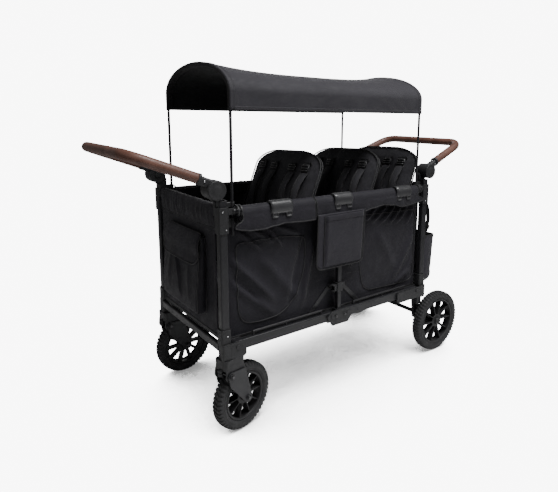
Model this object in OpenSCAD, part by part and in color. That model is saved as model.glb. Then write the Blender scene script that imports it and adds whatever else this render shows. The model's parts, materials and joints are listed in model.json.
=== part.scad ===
// Folding pull wagon: a four-post frame with rising middle, a fabric tub, three seat rows,
// two swinging handles, sprung front casters, fixed rear wheels and a height-adjustable canopy.
// +X runs from the front (swivel) end to the rear end, +Y from the near to the far side, +Z up.
// The origin is on the ground, under the middle of the wagon.

/* [Frame] */
// Half the distance between the front and the rear posts
post_x = 491; // [488:1:494]
// Half the distance between the near and the far posts
post_y = 257; // [256:1:258]
// Side of the square post tube
post_size = 28; // [26:1:28]
// Wall of every hollow tube
tube_wall = 1.8; // [1.5:0.1:2.5]
// Underside of the bottom castings, where the casters swivel
casting_z = 285.5; // [284:0.5:287]
// Top of the bottom casting sleeves
sleeve_top_z = 390; // [380:1:395]
// Underside of the upper post fittings
fitting_z = 715; // [705:1:720]
// Top of the post tubes
post_top_z = 822; // [820:1:824]

/* [Folding side frames] */
// Distance of the end pivots from the middle
end_pivot_x = 452; // [450:1:454]
// Distance of the middle pivots from the middle
mid_pivot_x = 40; // [38:1:42]
// Height of the lower rail pivots
low_pivot_z = 322; // [320:1:324]
// Height of the upper rail pivots
top_pivot_z = 785; // [783:1:787]
// Height of the lower side rails
rail_h = 36; // [32:1:38]
// Width of the lower side rails
rail_w = 22; // [20:1:22]
// Sideways place of the side rails
rail_y = 262; // [261:1:263]
// Sideways place of the upper rails
top_rail_y = 268; // [267:1:268]
// Radius of the upper rails
top_rail_r = 9; // [8:0.5:9]
// Height of the brace collar on the middle post
collar_z = 436; // [434:1:440]

/* [Handles] */
// Distance of the handle pivots from the middle
handle_pivot_x = 513; // [511:1:515]
// Height of the handle pivots
handle_pivot_z = 857; // [856:1:860]
// Rise of the handle arms above level
handle_tilt = 21; // [18:1:26]
// Distance from the pivot to the crossbar
handle_reach = 280; // [260:1:290]
// Radius of the bend between an arm and the crossbar
handle_bend_r = 62; // [50:1:70]
// Radius of the covered grip
grip_r = 17; // [15:0.5:18]

/* [Wheels] */
// Radius of the front caster wheels
front_wheel_r = 120; // [118:1:121]
// Radius of the rear wheels
rear_wheel_r = 141; // [135:1:143]
// Width of the tyres
tyre_w = 46; // [42:1:47]
// How far a caster wheel trails its swivel axis
caster_trail = 74; // [72:1:76]
// Turn of the near caster about its upright axis
near_turn = 14; // [0:1:20]
// Turn of the far caster about its upright axis
far_turn = 6; // [0:1:20]
// Distance of the rear axle from the middle
rear_axle_x = 603; // [600:1:605]
// Number of spokes in each wheel
spokes = 10; // [8:1:14]

/* [Tub and seats] */
// Half the inner width of the fabric tub
tub_y = 237.5; // [237:0.5:237.5]
// Top of the fabric tub
tub_top_z = 802; // [801:1:803]
// Top of the seat backs
seat_top_z = 955; // [930:1:960]
// Half the width of a seat
seat_half_w = 231; // [210:1:232]
// Lean of the seat backs
seat_lean = 22; // [14:1:24]

/* [Canopy] */
// Half the length of the canopy between its hoops
hoop_x = 449; // [448:1:450]
// Half the width between the canopy poles
pole_y = 250; // [250:0.5:250.5]
// Radius of the canopy poles
pole_r = 5; // [4.5:0.5:5]
// Height where the arch springs from the poles
arch_z = 1161; // [1150:1:1170]
// Rise of the canopy arch
arch_rise = 98; // [90:1:104]
// Height of the canopy's lower edge
canopy_edge_z = 1105; // [1095:1:1120]

/* [Hidden] */
$fn = 48;

frame_black = "#2b2b2e";
plastic_black = "#232325";
fabric_black = "#1c1c1f";
canopy_grey = "#3f3e42";
leather_brown = "#6b4638";
tyre_black = "#29292b";

running_gap = 0.05;     // radial clearance of a pin in its bore
free_gap = 0.35;        // clearance between curved faces that don't fit together
bolt_r = 5;             // lower rail pivot bolts
top_bolt_r = 4;         // upper rail pivot bolts
axle_r = 6;             // wheel axles
cheek_t = 7;            // casting cheek plates beside the rails
cheek_gap = 1.5;        // space between a cheek plate and the rail
rail_end_r = rail_h / 2;
post_in_y = post_y - post_size / 2;

// ---------- shared shapes ----------

// rounded rectangle, centred
module rrect(w, d, r) {
    square([w - 2 * r, d], center = true);
    square([w, d - 2 * r], center = true);
    for (x = [-1, 1], y = [-1, 1])
        translate([x * (w / 2 - r), y * (d / 2 - r)]) circle(r);
}

// rounded rectangular tube outline with an open middle
module rtube(w, d, r) {
    difference() {
        rrect(w, d, r);
        rrect(w - 2 * tube_wall, d - 2 * tube_wall, r - tube_wall);
    }
}

// the same thing on the far side and, mirrored, on the near side
module sides() {
    children();
    mirror([0, 1, 0]) children();
}

// rear-end geometry turned into front-end geometry
module at_front() {
    mirror([1, 0, 0]) children();
}

// an outline drawn in X and Z, given thickness from y0 to y1
module plate(y0, y1) {
    translate([0, y1, 0]) rotate([90, 0, 0]) linear_extrude(y1 - y0) children();
}

// an outline drawn in Y and Z, given length from x0 to x1
module along_x(x0, x1) {
    translate([x0, 0, 0]) rotate([90, 0, 90]) linear_extrude(x1 - x0) children();
}

// an outline drawn in X and Y, given height from z0 to z1
module along_z(z0, z1) {
    translate([0, 0, z0]) linear_extrude(z1 - z0) children();
}

// round pin across the wagon
module pin_y(x, z, y0, y1, r) {
    translate([x, y1, z]) rotate([90, 0, 0]) cylinder(h = y1 - y0, r = r);
}

// box from its low corner to its high corner
module box(low, high) {
    translate(low) cube(high - low);
}

// tube swept through a list of points in the plane square to normal; hole is its inner radius, or 0
function unit(v) = v / norm(v);
function tangent(p, i) = unit(p[min(i + 1, len(p) - 1)] - p[max(i - 1, 0)]);
function ring(p, i, r, normal, n) =
    let (side = cross(tangent(p, i), normal))
    [for (k = [0 : n - 1]) p[i] + r * (cos(360 * k / n) * normal + sin(360 * k / n) * side)];
// the four corners, in turn, of each wall face between one ring of n points and the next
function wall_faces(rings, n, first) = [
    for (i = [0 : rings - 2], k = [0 : n - 1])
        let (a = first + i * n, k2 = (k + 1) % n) [a + k, a + n + k, a + n + k2, a + k2]
];
function reversed(list) = [for (i = [len(list) - 1 : -1 : 0]) list[i]];
module swept_tube(path, r, normal, hole = 0, n = 12) {
    last = (len(path) - 1) * n;
    inner = len(path) * n;
    outer_points = [for (i = [0 : len(path) - 1]) each ring(path, i, r, normal, n)];
    if (hole == 0)
        polyhedron(
            outer_points,
            concat(
                wall_faces(len(path), n, 0),
                [[for (k = [0 : n - 1]) k], reversed([for (k = [0 : n - 1]) last + k])]
            ),
            convexity = 10
        );
    else
        polyhedron(
            concat(outer_points, [for (i = [0 : len(path) - 1]) each ring(path, i, hole, normal, n)]),
            concat(
                wall_faces(len(path), n, 0),
                [for (f = wall_faces(len(path), n, inner)) reversed(f)],
                [for (k = [0 : n - 1]) let (k2 = (k + 1) % n) [k, k2, inner + k2, inner + k]],
                [for (k = [0 : n - 1]) let (k2 = (k + 1) % n)
                    [last + k2, last + k, inner + last + k, inner + last + k2]]
            ),
            convexity = 10
        );
}

// ---------- end frames: posts, castings, fittings ----------

module end_posts() {
    sides()
        translate([post_x, post_y, 0])
        along_z(casting_z + 54, post_top_z) rtube(post_size, post_size, 5);
}

module front_posts() color(frame_black) at_front() end_posts();
module rear_posts() color(frame_black) end_posts();

sleeve_half = post_size / 2 + 4;
cheek_in_y = rail_y - rail_w / 2 - cheek_gap;
cheek_out_y = rail_y + rail_w / 2 + cheek_gap;
block_in_y = cheek_in_y - cheek_t;
block_out_y = cheek_out_y + cheek_t;

// the two cheek plates that hold a lower rail's end pivot, reaching inward to inner_x
module rail_cheeks(inner_x, low_z, high_z) {
    outer_x = post_x - 12;
    for (y = [block_in_y, cheek_out_y])
        plate(y, y + cheek_t)
            polygon([
                [outer_x, low_z], [inner_x + 8, low_z], [inner_x, low_z + 8],
                [inner_x, high_z - 8], [inner_x + 8, high_z], [outer_x, high_z]
            ]);
    pin_y(end_pivot_x, low_pivot_z, block_in_y - 3, block_out_y + 3, bolt_r);
    pin_y(end_pivot_x, low_pivot_z, block_out_y, block_out_y + 3, bolt_r + 3);
    pin_y(end_pivot_x, low_pivot_z, block_in_y - 3, block_in_y, bolt_r + 3);
}

// the block and sleeve that close round the foot of a post
module casting_body(foot_z) {
    difference() {
        translate([post_x, post_y, 0]) {
            along_z(casting_z + 54, sleeve_top_z) rrect(2 * sleeve_half, 2 * sleeve_half, 7);
            along_z(foot_z, casting_z + 54)
                translate([1, 5]) rrect(2 * sleeve_half - 4, block_out_y - block_in_y, 6);
        }
        translate([post_x, post_y, 0])
            along_z(casting_z + 54, sleeve_top_z + 1) rrect(post_size, post_size, 5);
    }
}

module front_castings() color(plastic_black) at_front() sides() {
    difference() {
        union() {
            casting_body(casting_z);
            rail_cheeks(421, casting_z, 340);
        }
        translate([post_x, post_y, casting_z - 1]) cylinder(h = 41, r = 8 + running_gap);
    }
}

module rear_castings() color(plastic_black) sides() {
    casting_body(casting_z);
    rail_cheeks(325, casting_z + 4, 337);
    box([330, block_in_y, casting_z + 4], [post_x - 12, block_out_y, casting_z + 10]);
}

module cross_rails() {
    translate([post_x + 9, 0, 323]) rotate([90, 0, 0])
        translate([0, 0, -block_in_y]) linear_extrude(2 * block_in_y) rtube(16, 30, 5);
    pin_y(post_x, 793, -neck_in_y, neck_in_y, 6);
}

module front_cross_rails() color(frame_black) at_front() cross_rails();
module rear_cross_rails() color(frame_black) cross_rails();

// upper fitting: sleeve, neck with the fixed hinge disc, tongue for the upper rail, pole rings
disc_r = 32;
disc_in_y = 222;
disc_out_y = 239.5;
neck_in_y = 228;
tongue_t = 8;
ring_r = 8;
button_r = 11;

module pole_ring(z0, z1) {
    translate([0, 0, z0]) {
        translate([hoop_x, pole_y, 0]) cylinder(h = z1 - z0, r = ring_r);
        translate([hoop_x, pole_y - 4, 0]) cube([post_x - sleeve_half - hoop_x, 8, z1 - z0]);
    }
}

module upper_fitting() {
    difference() {
        union() {
            translate([post_x, post_y, 0])
                along_z(fitting_z, 800) rrect(2 * sleeve_half, 2 * sleeve_half, 5);
            // neck on the inner side of the post
            plate(neck_in_y, post_in_y)
                polygon([
                    [post_x - 14, 770], [post_x - 14, 840], [handle_pivot_x - 12, 876],
                    [handle_pivot_x + 12, 830], [post_x + 14, 812], [post_x + 14, 770]
                ]);
            pin_y(handle_pivot_x, handle_pivot_z, disc_in_y, disc_out_y, disc_r - 1);
            // tongue that carries the upper rail
            plate(top_rail_y - tongue_t / 2, top_rail_y + tongue_t / 2)
                union() {
                    translate([end_pivot_x, top_pivot_z]) circle(10);
                    translate([end_pivot_x, top_pivot_z - 10])
                        square([post_x - 14 - end_pivot_x, 20]);
                }
            pole_ring(730, 760);
            pole_ring(797, 812);
            pin_y(lever_x - 6, lever_z, pole_y - 4, pole_y + ring_r + 0.7, 7);
        }
        translate([post_x, post_y, 0])
            along_z(fitting_z - 1, post_top_z + 1) rrect(post_size, post_size, 5);
        translate([hoop_x, pole_y, 600]) cylinder(h = 300, r = pole_r + running_gap);
        pin_y(end_pivot_x, top_pivot_z, 255, 280, top_bolt_r + running_gap);
        pin_y(handle_pivot_x, handle_pivot_z, disc_out_y - 8.5, disc_out_y + 1, 6 + running_gap);
        pin_y(handle_pivot_x, handle_pivot_z, disc_in_y - 1, disc_in_y + 8, button_r + free_gap);
        // room for the handle disc that turns beside the neck
        pin_y(handle_pivot_x, handle_pivot_z, disc_out_y, disc_out_y + 40, disc_r + 1);
    }
    // dome-headed rivets on the outer face
    for (p = [[post_x - 6, 728], [post_x + 6, 786]])
        pin_y(p[0], p[1], post_y + sleeve_half, post_y + sleeve_half + 1.2, 3);
}

module front_post_fittings() color(plastic_black) at_front() sides() upper_fitting();
module rear_post_fittings() color(plastic_black) sides() upper_fitting();

// ---------- lower folding rails, middle frame, braces ----------

// lower rail between its end pivot and its middle pivot, with the thin upper bar
module low_rail() {
    length = end_pivot_x - mid_pivot_x;
    difference() {
        union() {
            plate(rail_y - rail_w / 2, rail_y + rail_w / 2)
                for (x = [mid_pivot_x, end_pivot_x]) translate([x, low_pivot_z]) circle(rail_end_r);
            along_x(mid_pivot_x, end_pivot_x)
                translate([rail_y, low_pivot_z]) rrect(rail_w, rail_h, 4);
        }
        along_x(mid_pivot_x + rail_end_r, end_pivot_x - rail_end_r)
            translate([rail_y, low_pivot_z])
            rrect(rail_w - 2 * tube_wall, rail_h - 2 * tube_wall, 4 - tube_wall);
        for (x = [mid_pivot_x, end_pivot_x])
            pin_y(x, low_pivot_z, rail_y - 20, rail_y + 20, bolt_r + running_gap);
    }
    // thin bar that the tub's hem is tied to, on short posts, short of the post when the rail stands up
    bar_z = low_pivot_z + rail_h / 2 + 14;
    translate([mid_pivot_x + 40, rail_y, bar_z]) rotate([0, 90, 0]) cylinder(h = length - 106, r = 4);
    for (x = [mid_pivot_x + 44, (mid_pivot_x + end_pivot_x) / 2, end_pivot_x - 70])
        translate([x, rail_y, low_pivot_z + rail_end_r - 0.5]) cylinder(h = 14.5, r = 3);
    // bolt heads on the outer face
    for (x = [mid_pivot_x + 60, mid_pivot_x + 140, end_pivot_x - 55])
        pin_y(x, low_pivot_z - 4, rail_y + rail_w / 2, rail_y + rail_w / 2 + 1.5, 3.5);
}

module front_side_rails() color(frame_black) at_front() sides() low_rail();
module rear_side_rails() color(frame_black) sides() low_rail();

plate_end_x = 66;

// six-sided plates either side of the middle joint, with their pivot bolts
module pivot_plates() color(plastic_black) sides() {
    top = low_pivot_z + 23;
    bottom = low_pivot_z - 36;
    for (y = [cheek_in_y - 6, cheek_out_y])
        plate(y, y + 6)
            polygon([
                [-plate_end_x, low_pivot_z + 2], [-plate_end_x + 22, top], [plate_end_x - 22, top],
                [plate_end_x, low_pivot_z + 2], [plate_end_x - 26, bottom], [-plate_end_x + 26, bottom]
            ]);
    for (x = [-mid_pivot_x, mid_pivot_x]) {
        pin_y(x, low_pivot_z, cheek_in_y - 5, cheek_out_y + 8, bolt_r);
        pin_y(x, low_pivot_z, cheek_out_y + 6, cheek_out_y + 8.5, bolt_r + 3);
    }
}

mid_post = 18;
mid_post_y = 263;

// middle posts, the tube that joins them under the floor, and the upper tongues
module centre_frame() color(frame_black) {
    sides() {
        translate([0, mid_post_y, 0])
            along_z(low_pivot_z - 20, top_pivot_z - 8) rrect(mid_post, mid_post, 3);
        box([-17, cheek_in_y, low_pivot_z - 20], [17, cheek_out_y, low_pivot_z + 23]);
        difference() {
            plate(top_rail_y - tongue_t / 2, top_rail_y + tongue_t / 2)
                union() {
                    for (x = [-mid_pivot_x, mid_pivot_x]) translate([x, top_pivot_z]) circle(10);
                    translate([-mid_pivot_x, top_pivot_z - 10]) square([2 * mid_pivot_x, 20]);
                }
            for (x = [-mid_pivot_x, mid_pivot_x])
                pin_y(x, top_pivot_z, 255, 280, top_bolt_r + 1);
        }
    }
    pin_y(0, low_pivot_z, -cheek_in_y + 6, cheek_in_y - 6, 10);
}

brace_y = 242.2;
brace_t = 2;
brace_top = [30, collar_z];
brace_foot = [118, low_pivot_z + rail_h / 2 + 10];

// sleeves that slide on the middle posts, with a lug for each brace and a webbing loop
module brace_collars() color(plastic_black) sides() {
    difference() {
        union() {
            translate([0, mid_post_y, 0]) along_z(collar_z - 17, collar_z + 17) rrect(30, 28, 5);
            for (s = [-1, 1])
                box([min(s * 12, s * 38), 253, collar_z - 8], [max(s * 12, s * 38), 258, collar_z + 8]);
            translate([-26, mid_post_y + 4, collar_z - 12]) cylinder(h = 24, r = 11);
        }
        translate([0, mid_post_y, 0])
            along_z(collar_z - 20, collar_z + 20) rrect(mid_post + 0.8, mid_post + 0.8, 3.2);
        translate([-27, mid_post_y + 4, collar_z - 9]) cylinder(h = 18, r = 8);
        box([-40, mid_post_y - 1, collar_z - 9], [-30, mid_post_y + 20, collar_z + 9]);
    }
    for (s = [-1, 1]) pin_y(s * brace_top[0], brace_top[1], brace_y - 1, 254, 4);
}

module brace() {
    run = brace_foot - brace_top;
    difference() {
        plate(brace_y - brace_t / 2, brace_y + brace_t / 2)
            translate(brace_top) rotate([0, 0, atan2(run[1], run[0])]) {
                circle(8);
                translate([norm(run), 0]) circle(8);
                translate([0, -8]) square([norm(run), 16]);
            }
        pin_y(brace_top[0], brace_top[1], brace_y - 5, brace_y + 5, 4 + running_gap);
    }
}

module front_braces() color(frame_black) at_front() sides() brace();
module rear_braces() color(frame_black) sides() brace();

// ---------- upper rails and their clips ----------

module top_rail() {
    difference() {
        union() {
            translate([mid_pivot_x, top_rail_y, top_pivot_z]) rotate([0, 90, 0])
                cylinder(h = end_pivot_x - mid_pivot_x, r = top_rail_r);
            for (x = [mid_pivot_x, end_pivot_x])
                translate([x, top_rail_y, top_pivot_z]) sphere(top_rail_r);
        }
        for (x = [mid_pivot_x - 12, end_pivot_x - 26])
            box([x, top_rail_y - tongue_t / 2 - 0.5, top_pivot_z - 12],
                [x + 38, top_rail_y + tongue_t / 2 + 0.5, top_pivot_z + 12]);
    }
    for (x = [mid_pivot_x, end_pivot_x])
        pin_y(x, top_pivot_z, top_rail_y - 7, top_rail_y + 7, top_bolt_r);
}

module top_front_rails() color(frame_black) at_front() sides() top_rail();
module top_rear_rails() color(frame_black) sides() top_rail();

clip_half = 45;
clip_out_y = 293;
clip_low_z = 762;
// middle of each clip, front to rear
clip_x = [-278, 0, 333];

// saddle clip over an upper rail, with two small hooks under it
module rail_clip(x) {
    difference() {
        union() {
            box([x - clip_half, clip_out_y - 4, clip_low_z], [x + clip_half, clip_out_y, 808]);
            box([x - clip_half, 259, 803.5], [x + clip_half, clip_out_y, 808]);
            box([x - clip_half + 8, top_rail_y - 4, top_pivot_z], [x + clip_half - 8, top_rail_y + 4, 805]);
        }
        translate([x - clip_half - 1, top_rail_y, top_pivot_z]) rotate([0, 90, 0])
            cylinder(h = 2 * clip_half + 2, r = top_rail_r);
    }
    for (s = [-1, 1])
        translate([x + s * 28, clip_out_y - 4, clip_low_z - 6])
            along_x(-9, 9) rrect(9, 14, 3);
}

module centre_clips() color(plastic_black) sides() {
    // the middle clip sits on the tongue of the middle frame instead of on a rail
    box([clip_x[1] - clip_half, clip_out_y - 4, clip_low_z], [clip_x[1] + clip_half, clip_out_y, 808]);
    box([clip_x[1] - clip_half, 259, 803.5], [clip_x[1] + clip_half, clip_out_y, 808]);
    box([-14, top_rail_y - 4, top_pivot_z + 10], [14, top_rail_y + 4, 804]);
    for (s = [-1, 1])
        translate([clip_x[1] + s * 28, clip_out_y - 4, clip_low_z - 6])
            along_x(-9, 9) rrect(9, 14, 3);
}

module front_rail_clips() color(plastic_black) sides() rail_clip(clip_x[0]);
module rear_rail_clips() color(plastic_black) sides() rail_clip(clip_x[2]);

// ---------- rear legs, axle bar and brake ----------

axle_bar_x = 500;
axle_bar_z = 197;
axle_bar_r = 9;
leg_in_y = 228;
leg_t = 12;
rear_wheel_y = 270;

module rear_legs() color(frame_black) {
    sides() {
        // plate that drops from the casting and reaches back to the axle
        plate(leg_in_y, leg_in_y + leg_t)
            union() {
                polygon([
                    [472, casting_z + 14], [514, casting_z + 14], [518, 214], [545, 186],
                    [rear_axle_x + 8, rear_wheel_r + 18], [rear_axle_x - 4, rear_wheel_r - 18],
                    [530, 140], [486, 176]
                ]);
                translate([rear_axle_x, rear_wheel_r]) circle(19);
            }
        // foot of the post above the plate
        translate([post_x, post_y - 10, 0]) along_z(casting_z - 40, casting_z) rrect(28, 34, 5);
        pin_y(rear_axle_x, rear_wheel_r, leg_in_y + 1, rear_wheel_y + tyre_w / 2 - 4, axle_r);
    }
    pin_y(axle_bar_x, axle_bar_z, -leg_in_y - 1, leg_in_y + 1, axle_bar_r);
}

module brake_pedal() color(plastic_black) {
    difference() {
        union() {
            pin_y(axle_bar_x, axle_bar_z, -46, 46, axle_bar_r + 5);
            plate(-46, 46)
                polygon([
                    [axle_bar_x + 6, axle_bar_z + 10], [axle_bar_x + 74, axle_bar_z + 6],
                    [axle_bar_x + 78, axle_bar_z + 2], [axle_bar_x + 74, axle_bar_z - 2],
                    [axle_bar_x + 6, axle_bar_z - 2]
                ]);
        }
        pin_y(axle_bar_x, axle_bar_z, -50, 50, axle_bar_r + free_gap);
    }
}

// ---------- handles ----------

arm_start_u = 30;       // where an arm leaves its disc
arm_start_v = 256;      // half the width between the arms at their discs
arm_slope = 5;          // degrees that each arm leans inward
arm_offset = 18;        // how far the arms run above the pivot line
grip_start_u = 63;
core_r = 11;
crossbar_u = handle_reach;
bend_u = crossbar_u - handle_bend_r;
bend_v = arm_start_v - (bend_u - arm_start_u) * tan(arm_slope) - handle_bend_r / cos(arm_slope);

bend_steps = 8;

// the handle's middle line in its own plane, from distance u0 along the far arm and back
function half_line(u0, s) = concat(
    [[u0, s * (arm_start_v - (u0 - arm_start_u) * tan(arm_slope)), 0]],
    [for (i = [0 : bend_steps])
        let (a = (90 - arm_slope) * (1 - i / bend_steps))
        [bend_u + handle_bend_r * cos(a), s * (bend_v + handle_bend_r * sin(a)), 0]]
);
function handle_line(u0) = concat(half_line(u0, 1), reversed(half_line(u0, -1)));

// from the handle's plane to its place on the rear posts
module on_handle() {
    translate([handle_pivot_x, 0, handle_pivot_z]) rotate([0, -handle_tilt, 0])
        translate([0, 0, arm_offset]) children();
}

module handle_frame() {
    difference() {
        union() {
            on_handle() swept_tube(handle_line(arm_start_u - 8), core_r, [0, 0, 1]);
            // square-shouldered arm sockets
            on_handle() sides()
                translate([8, arm_start_v + 1, -4]) rotate([0, 0, -arm_slope])
                along_x(0, grip_start_u - 10) rrect(26, 30, 8);
            sides() pin_y(handle_pivot_x, handle_pivot_z, disc_out_y + 0.5, 275.5, disc_r);
        }
        // keeps the sockets off the fixed discs
        sides() box([480, 200, 800], [600, disc_out_y + 0.5, 900]);
    }
    sides() pin_y(handle_pivot_x, handle_pivot_z, disc_out_y - 8, disc_out_y + 2, 6);
}

module handle_grip() {
    on_handle() swept_tube(handle_line(grip_start_u), grip_r, [0, 0, 1], core_r + free_gap, 16);
}

module front_handle_frame() color(plastic_black) at_front() handle_frame();
module rear_handle_frame() color(plastic_black) handle_frame();
module front_handle_grip() color(leather_brown) at_front() handle_grip();
module rear_handle_grip() color(leather_brown) handle_grip();

module hinge_button() {
    pin_y(handle_pivot_x, handle_pivot_z, disc_in_y - 5, disc_in_y + 3.5, button_r);
    pin_y(handle_pivot_x, handle_pivot_z, disc_in_y - 6, disc_in_y - 4, button_r - 2);
}

module hinge_button_rear_far() color(plastic_black) hinge_button();
module hinge_button_rear_near() color(plastic_black) mirror([0, 1, 0]) hinge_button();
module hinge_button_front_far() color(plastic_black) at_front() hinge_button();
module hinge_button_front_near() color(plastic_black) at_front() mirror([0, 1, 0]) hinge_button();

// levers that lock the canopy poles in their rings
lever_x = 441;
lever_z = 745;
module clamp_levers() {
    sides() {
        pin_y(lever_x - 6, lever_z, pole_y + ring_r + 1, pole_y + ring_r + 13, 6);
        plate(pole_y + ring_r + 4, pole_y + ring_r + 12)
            translate([lever_x - 20, lever_z]) rrect(28, 8, 3);
    }
}

module front_clamp_levers() color(plastic_black) at_front() clamp_levers();
module rear_clamp_levers() color(plastic_black) clamp_levers();

// ---------- casters ----------

fork_in_y = 30.5;
fork_t = 4;
ear_in_y = 25.5;
ear_t = 4;
fork_pivot_z = 228;

// from a caster's own frame, with the swivel axis at the origin, to a front post
module on_post(side, turn) {
    translate([-post_x, side * post_y, 0]) rotate([0, 0, turn]) children();
}

module caster_swivel() {
    difference() {
        union() {
            // housing under the casting
            along_z(250, casting_z - 0.5) translate([22, 0]) rrect(84, 2 * (ear_in_y + ear_t), 10);
            for (y = [-ear_in_y - ear_t, ear_in_y])
                plate(y, y + ear_t)
                    union() {
                        polygon([
                            [-18, 252], [62, 252], [62, 236], [24, 214],
                            [0, fork_pivot_z - 20], [-20, fork_pivot_z]
                        ]);
                        translate([0, fork_pivot_z]) circle(20);
                    }
        }
        pin_y(0, fork_pivot_z, -40, 40, bolt_r + running_gap);
    }
    translate([0, 0, casting_z - 1]) cylinder(h = 34, r = 8);
    // rubber spring stack on the leading side
    for (z = [232, 242])
        translate([-20, 0, z]) cylinder(h = 8, r = 9);
    translate([-20, 0, 228]) cylinder(h = 24, r = 7);
}

module caster_fork() {
    sides() {
        plate(fork_in_y, fork_in_y + fork_t)
            union() {
                polygon([
                    [0, fork_pivot_z + 14], [62, 238], [caster_trail + 16, front_wheel_r + 6],
                    [caster_trail - 16, front_wheel_r - 6], [-6, 190], [-12, fork_pivot_z - 6]
                ]);
                translate([caster_trail, front_wheel_r]) circle(18);
                translate([0, fork_pivot_z]) circle(15);
            }
        pin_y(0, fork_pivot_z, fork_in_y + 1, fork_in_y + fork_t + 4, 9);
        pin_y(caster_trail, front_wheel_r, fork_in_y + 1, fork_in_y + fork_t + 4, 9);
    }
    pin_y(0, fork_pivot_z, -fork_in_y - 1, fork_in_y + 1, bolt_r);
    pin_y(caster_trail, front_wheel_r, -fork_in_y - 1, fork_in_y + 1, axle_r);
}

module caster_swivel_near() color(plastic_black) on_post(-1, near_turn) caster_swivel();
module caster_swivel_far() color(plastic_black) on_post(1, far_turn) caster_swivel();
module caster_fork_near() color(frame_black) on_post(-1, near_turn) caster_fork();
module caster_fork_far() color(frame_black) on_post(1, far_turn) caster_fork();

// ---------- wheels ----------

// wheel shapes lie on the Y axis with their middle at the origin
module on_axle(x, y, z) {
    translate([x, y, z]) rotate([90, 0, 0]) children();
}

tyre_depth = 34;
rim_lip = 5;

module tyre(r) {
    inner = r - tyre_depth;
    rotate_extrude($fn = 96)
        intersection() {
            translate([r - tyre_depth / 2, 0]) rrect(tyre_depth, tyre_w, 11);
            translate([inner, -tyre_w / 2]) square([tyre_depth, tyre_w]);
        }
}

// outward is 1 for a near wheel and -1 for a far one; the narrow spokes face outward
module rim(r, outward) {
    outer = r - tyre_depth;
    hub_half = 24;
    spoke_length = outer - rim_lip - 17;
    difference() {
        union() {
            rotate_extrude($fn = 96) {
                translate([outer - rim_lip, -17]) square([rim_lip - 0.1, 34]);
                translate([outer - rim_lip - 3, -17]) square([4, 3]);
                translate([outer - rim_lip - 3, 14]) square([4, 3]);
            }
            translate([0, 0, -hub_half]) cylinder(h = 2 * hub_half, r = 15);
            translate([0, 0, -15]) cylinder(h = 30, r = 21);
            // each spoke is a thin deep rib on a broad flange
            for (k = [0 : spokes - 1]) {
                rotate([0, 0, 360 * k / spokes]) {
                    translate([18, -1.6, outward > 0 ? -9 : -13]) cube([spoke_length, 3.2, 22]);
                    translate([18, -6, outward > 0 ? -12.5 : 6.5]) cube([spoke_length, 12, 6]);
                }
            }
        }
        translate([0, 0, -hub_half - 1]) cylinder(h = 2 * hub_half + 2, r = axle_r + running_gap);
    }
}

module front_wheel_place(side, turn) {
    on_post(side, turn) on_axle(caster_trail, 0, front_wheel_r) children();
}

module rear_wheel_place(side) {
    on_axle(rear_axle_x, side * rear_wheel_y, rear_wheel_r) children();
}

module front_tyre_near() color(tyre_black) front_wheel_place(-1, near_turn) tyre(front_wheel_r);
module front_tyre_far() color(tyre_black) front_wheel_place(1, far_turn) tyre(front_wheel_r);
module front_rim_near() color(plastic_black) front_wheel_place(-1, near_turn) rim(front_wheel_r, 1);
module front_rim_far() color(plastic_black) front_wheel_place(1, far_turn) rim(front_wheel_r, -1);
module rear_tyre_near() color(tyre_black) rear_wheel_place(-1) tyre(rear_wheel_r);
module rear_tyre_far() color(tyre_black) rear_wheel_place(1) tyre(rear_wheel_r);
module rear_rim_near() color(plastic_black) rear_wheel_place(-1) rim(rear_wheel_r, 1);
module rear_rim_far() color(plastic_black) rear_wheel_place(1) rim(rear_wheel_r, -1);

// ---------- tub ----------

cloth_t = 3;
tub_end_x = 470;
band_end_x = 405;
skirt_z = 716;
skirt_out_y = 284;
tub_floor_z = 364;

// side wall, and the band that folds over the upper rail with room for the clips
module tub_sides() color(fabric_black) sides() {
    box([-tub_end_x, tub_y, tub_floor_z - 26], [tub_end_x, tub_y + cloth_t, tub_top_z - 4]);
    difference() {
        union() {
            box([-band_end_x, skirt_out_y - cloth_t, skirt_z], [band_end_x, skirt_out_y, tub_top_z]);
            box([-band_end_x, tub_y + 12, tub_top_z - cloth_t], [band_end_x, skirt_out_y, tub_top_z]);
        }
        for (x = clip_x)
            box([x - clip_half - 1, tub_y, clip_low_z], [x + clip_half + 1, skirt_out_y - cloth_t, 820]);
    }
}

flap_out_y = 288.5;
module side_flaps() color(fabric_black) sides()
    plate(flap_out_y - cloth_t, flap_out_y)
        union() {
            translate([-5, 630]) rrect(230, 216, 24);
            translate([-120, 700]) square([46, 99]);
        }

module floor_mat() color(fabric_black)
    along_z(tub_floor_z - 12, tub_floor_z - 2) rrect(2 * tub_end_x, 2 * tub_y - 3, 12);

panel_half_y = 225;
module end_panel() {
    box([post_x - 1, -panel_half_y, tub_floor_z - 18], [post_x + 7, panel_half_y, 782]);
    difference() {
        pin_y(post_x, 793, -panel_half_y, panel_half_y, 12);
        pin_y(post_x, 793, -panel_half_y - 1, panel_half_y + 1, 6 + free_gap);
    }
}

module front_panel() color(fabric_black) at_front() end_panel();
module rear_panel() color(fabric_black) end_panel();

// covered cargo pocket on the front panel
module front_pocket() color(fabric_black) at_front() {
    plate(-150, 150)
        polygon([
            [500, 405], [529, 408], [537, 420], [529, 560], [518, 684], [500, 700]
        ]);
}

basket_half_y = 250;
// open-topped basket behind the rear panel
module rear_basket() color(fabric_black)
    difference() {
        plate(-basket_half_y, basket_half_y)
            polygon([[510, 325], [588, 338], [600, 555], [510, 560]]);
        plate(-basket_half_y + cloth_t, basket_half_y - cloth_t)
            polygon([[510 + cloth_t, 329], [585, 342], [596.5, 570], [510 + cloth_t, 570]]);
    }

// ---------- seats ----------

seat_t = 24;
seat_low_z = 486;
// front face of each back at its top, front row first
seat_top_x = [-38, 264, 486];
seat_depth = [200, 170, 160];

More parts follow.
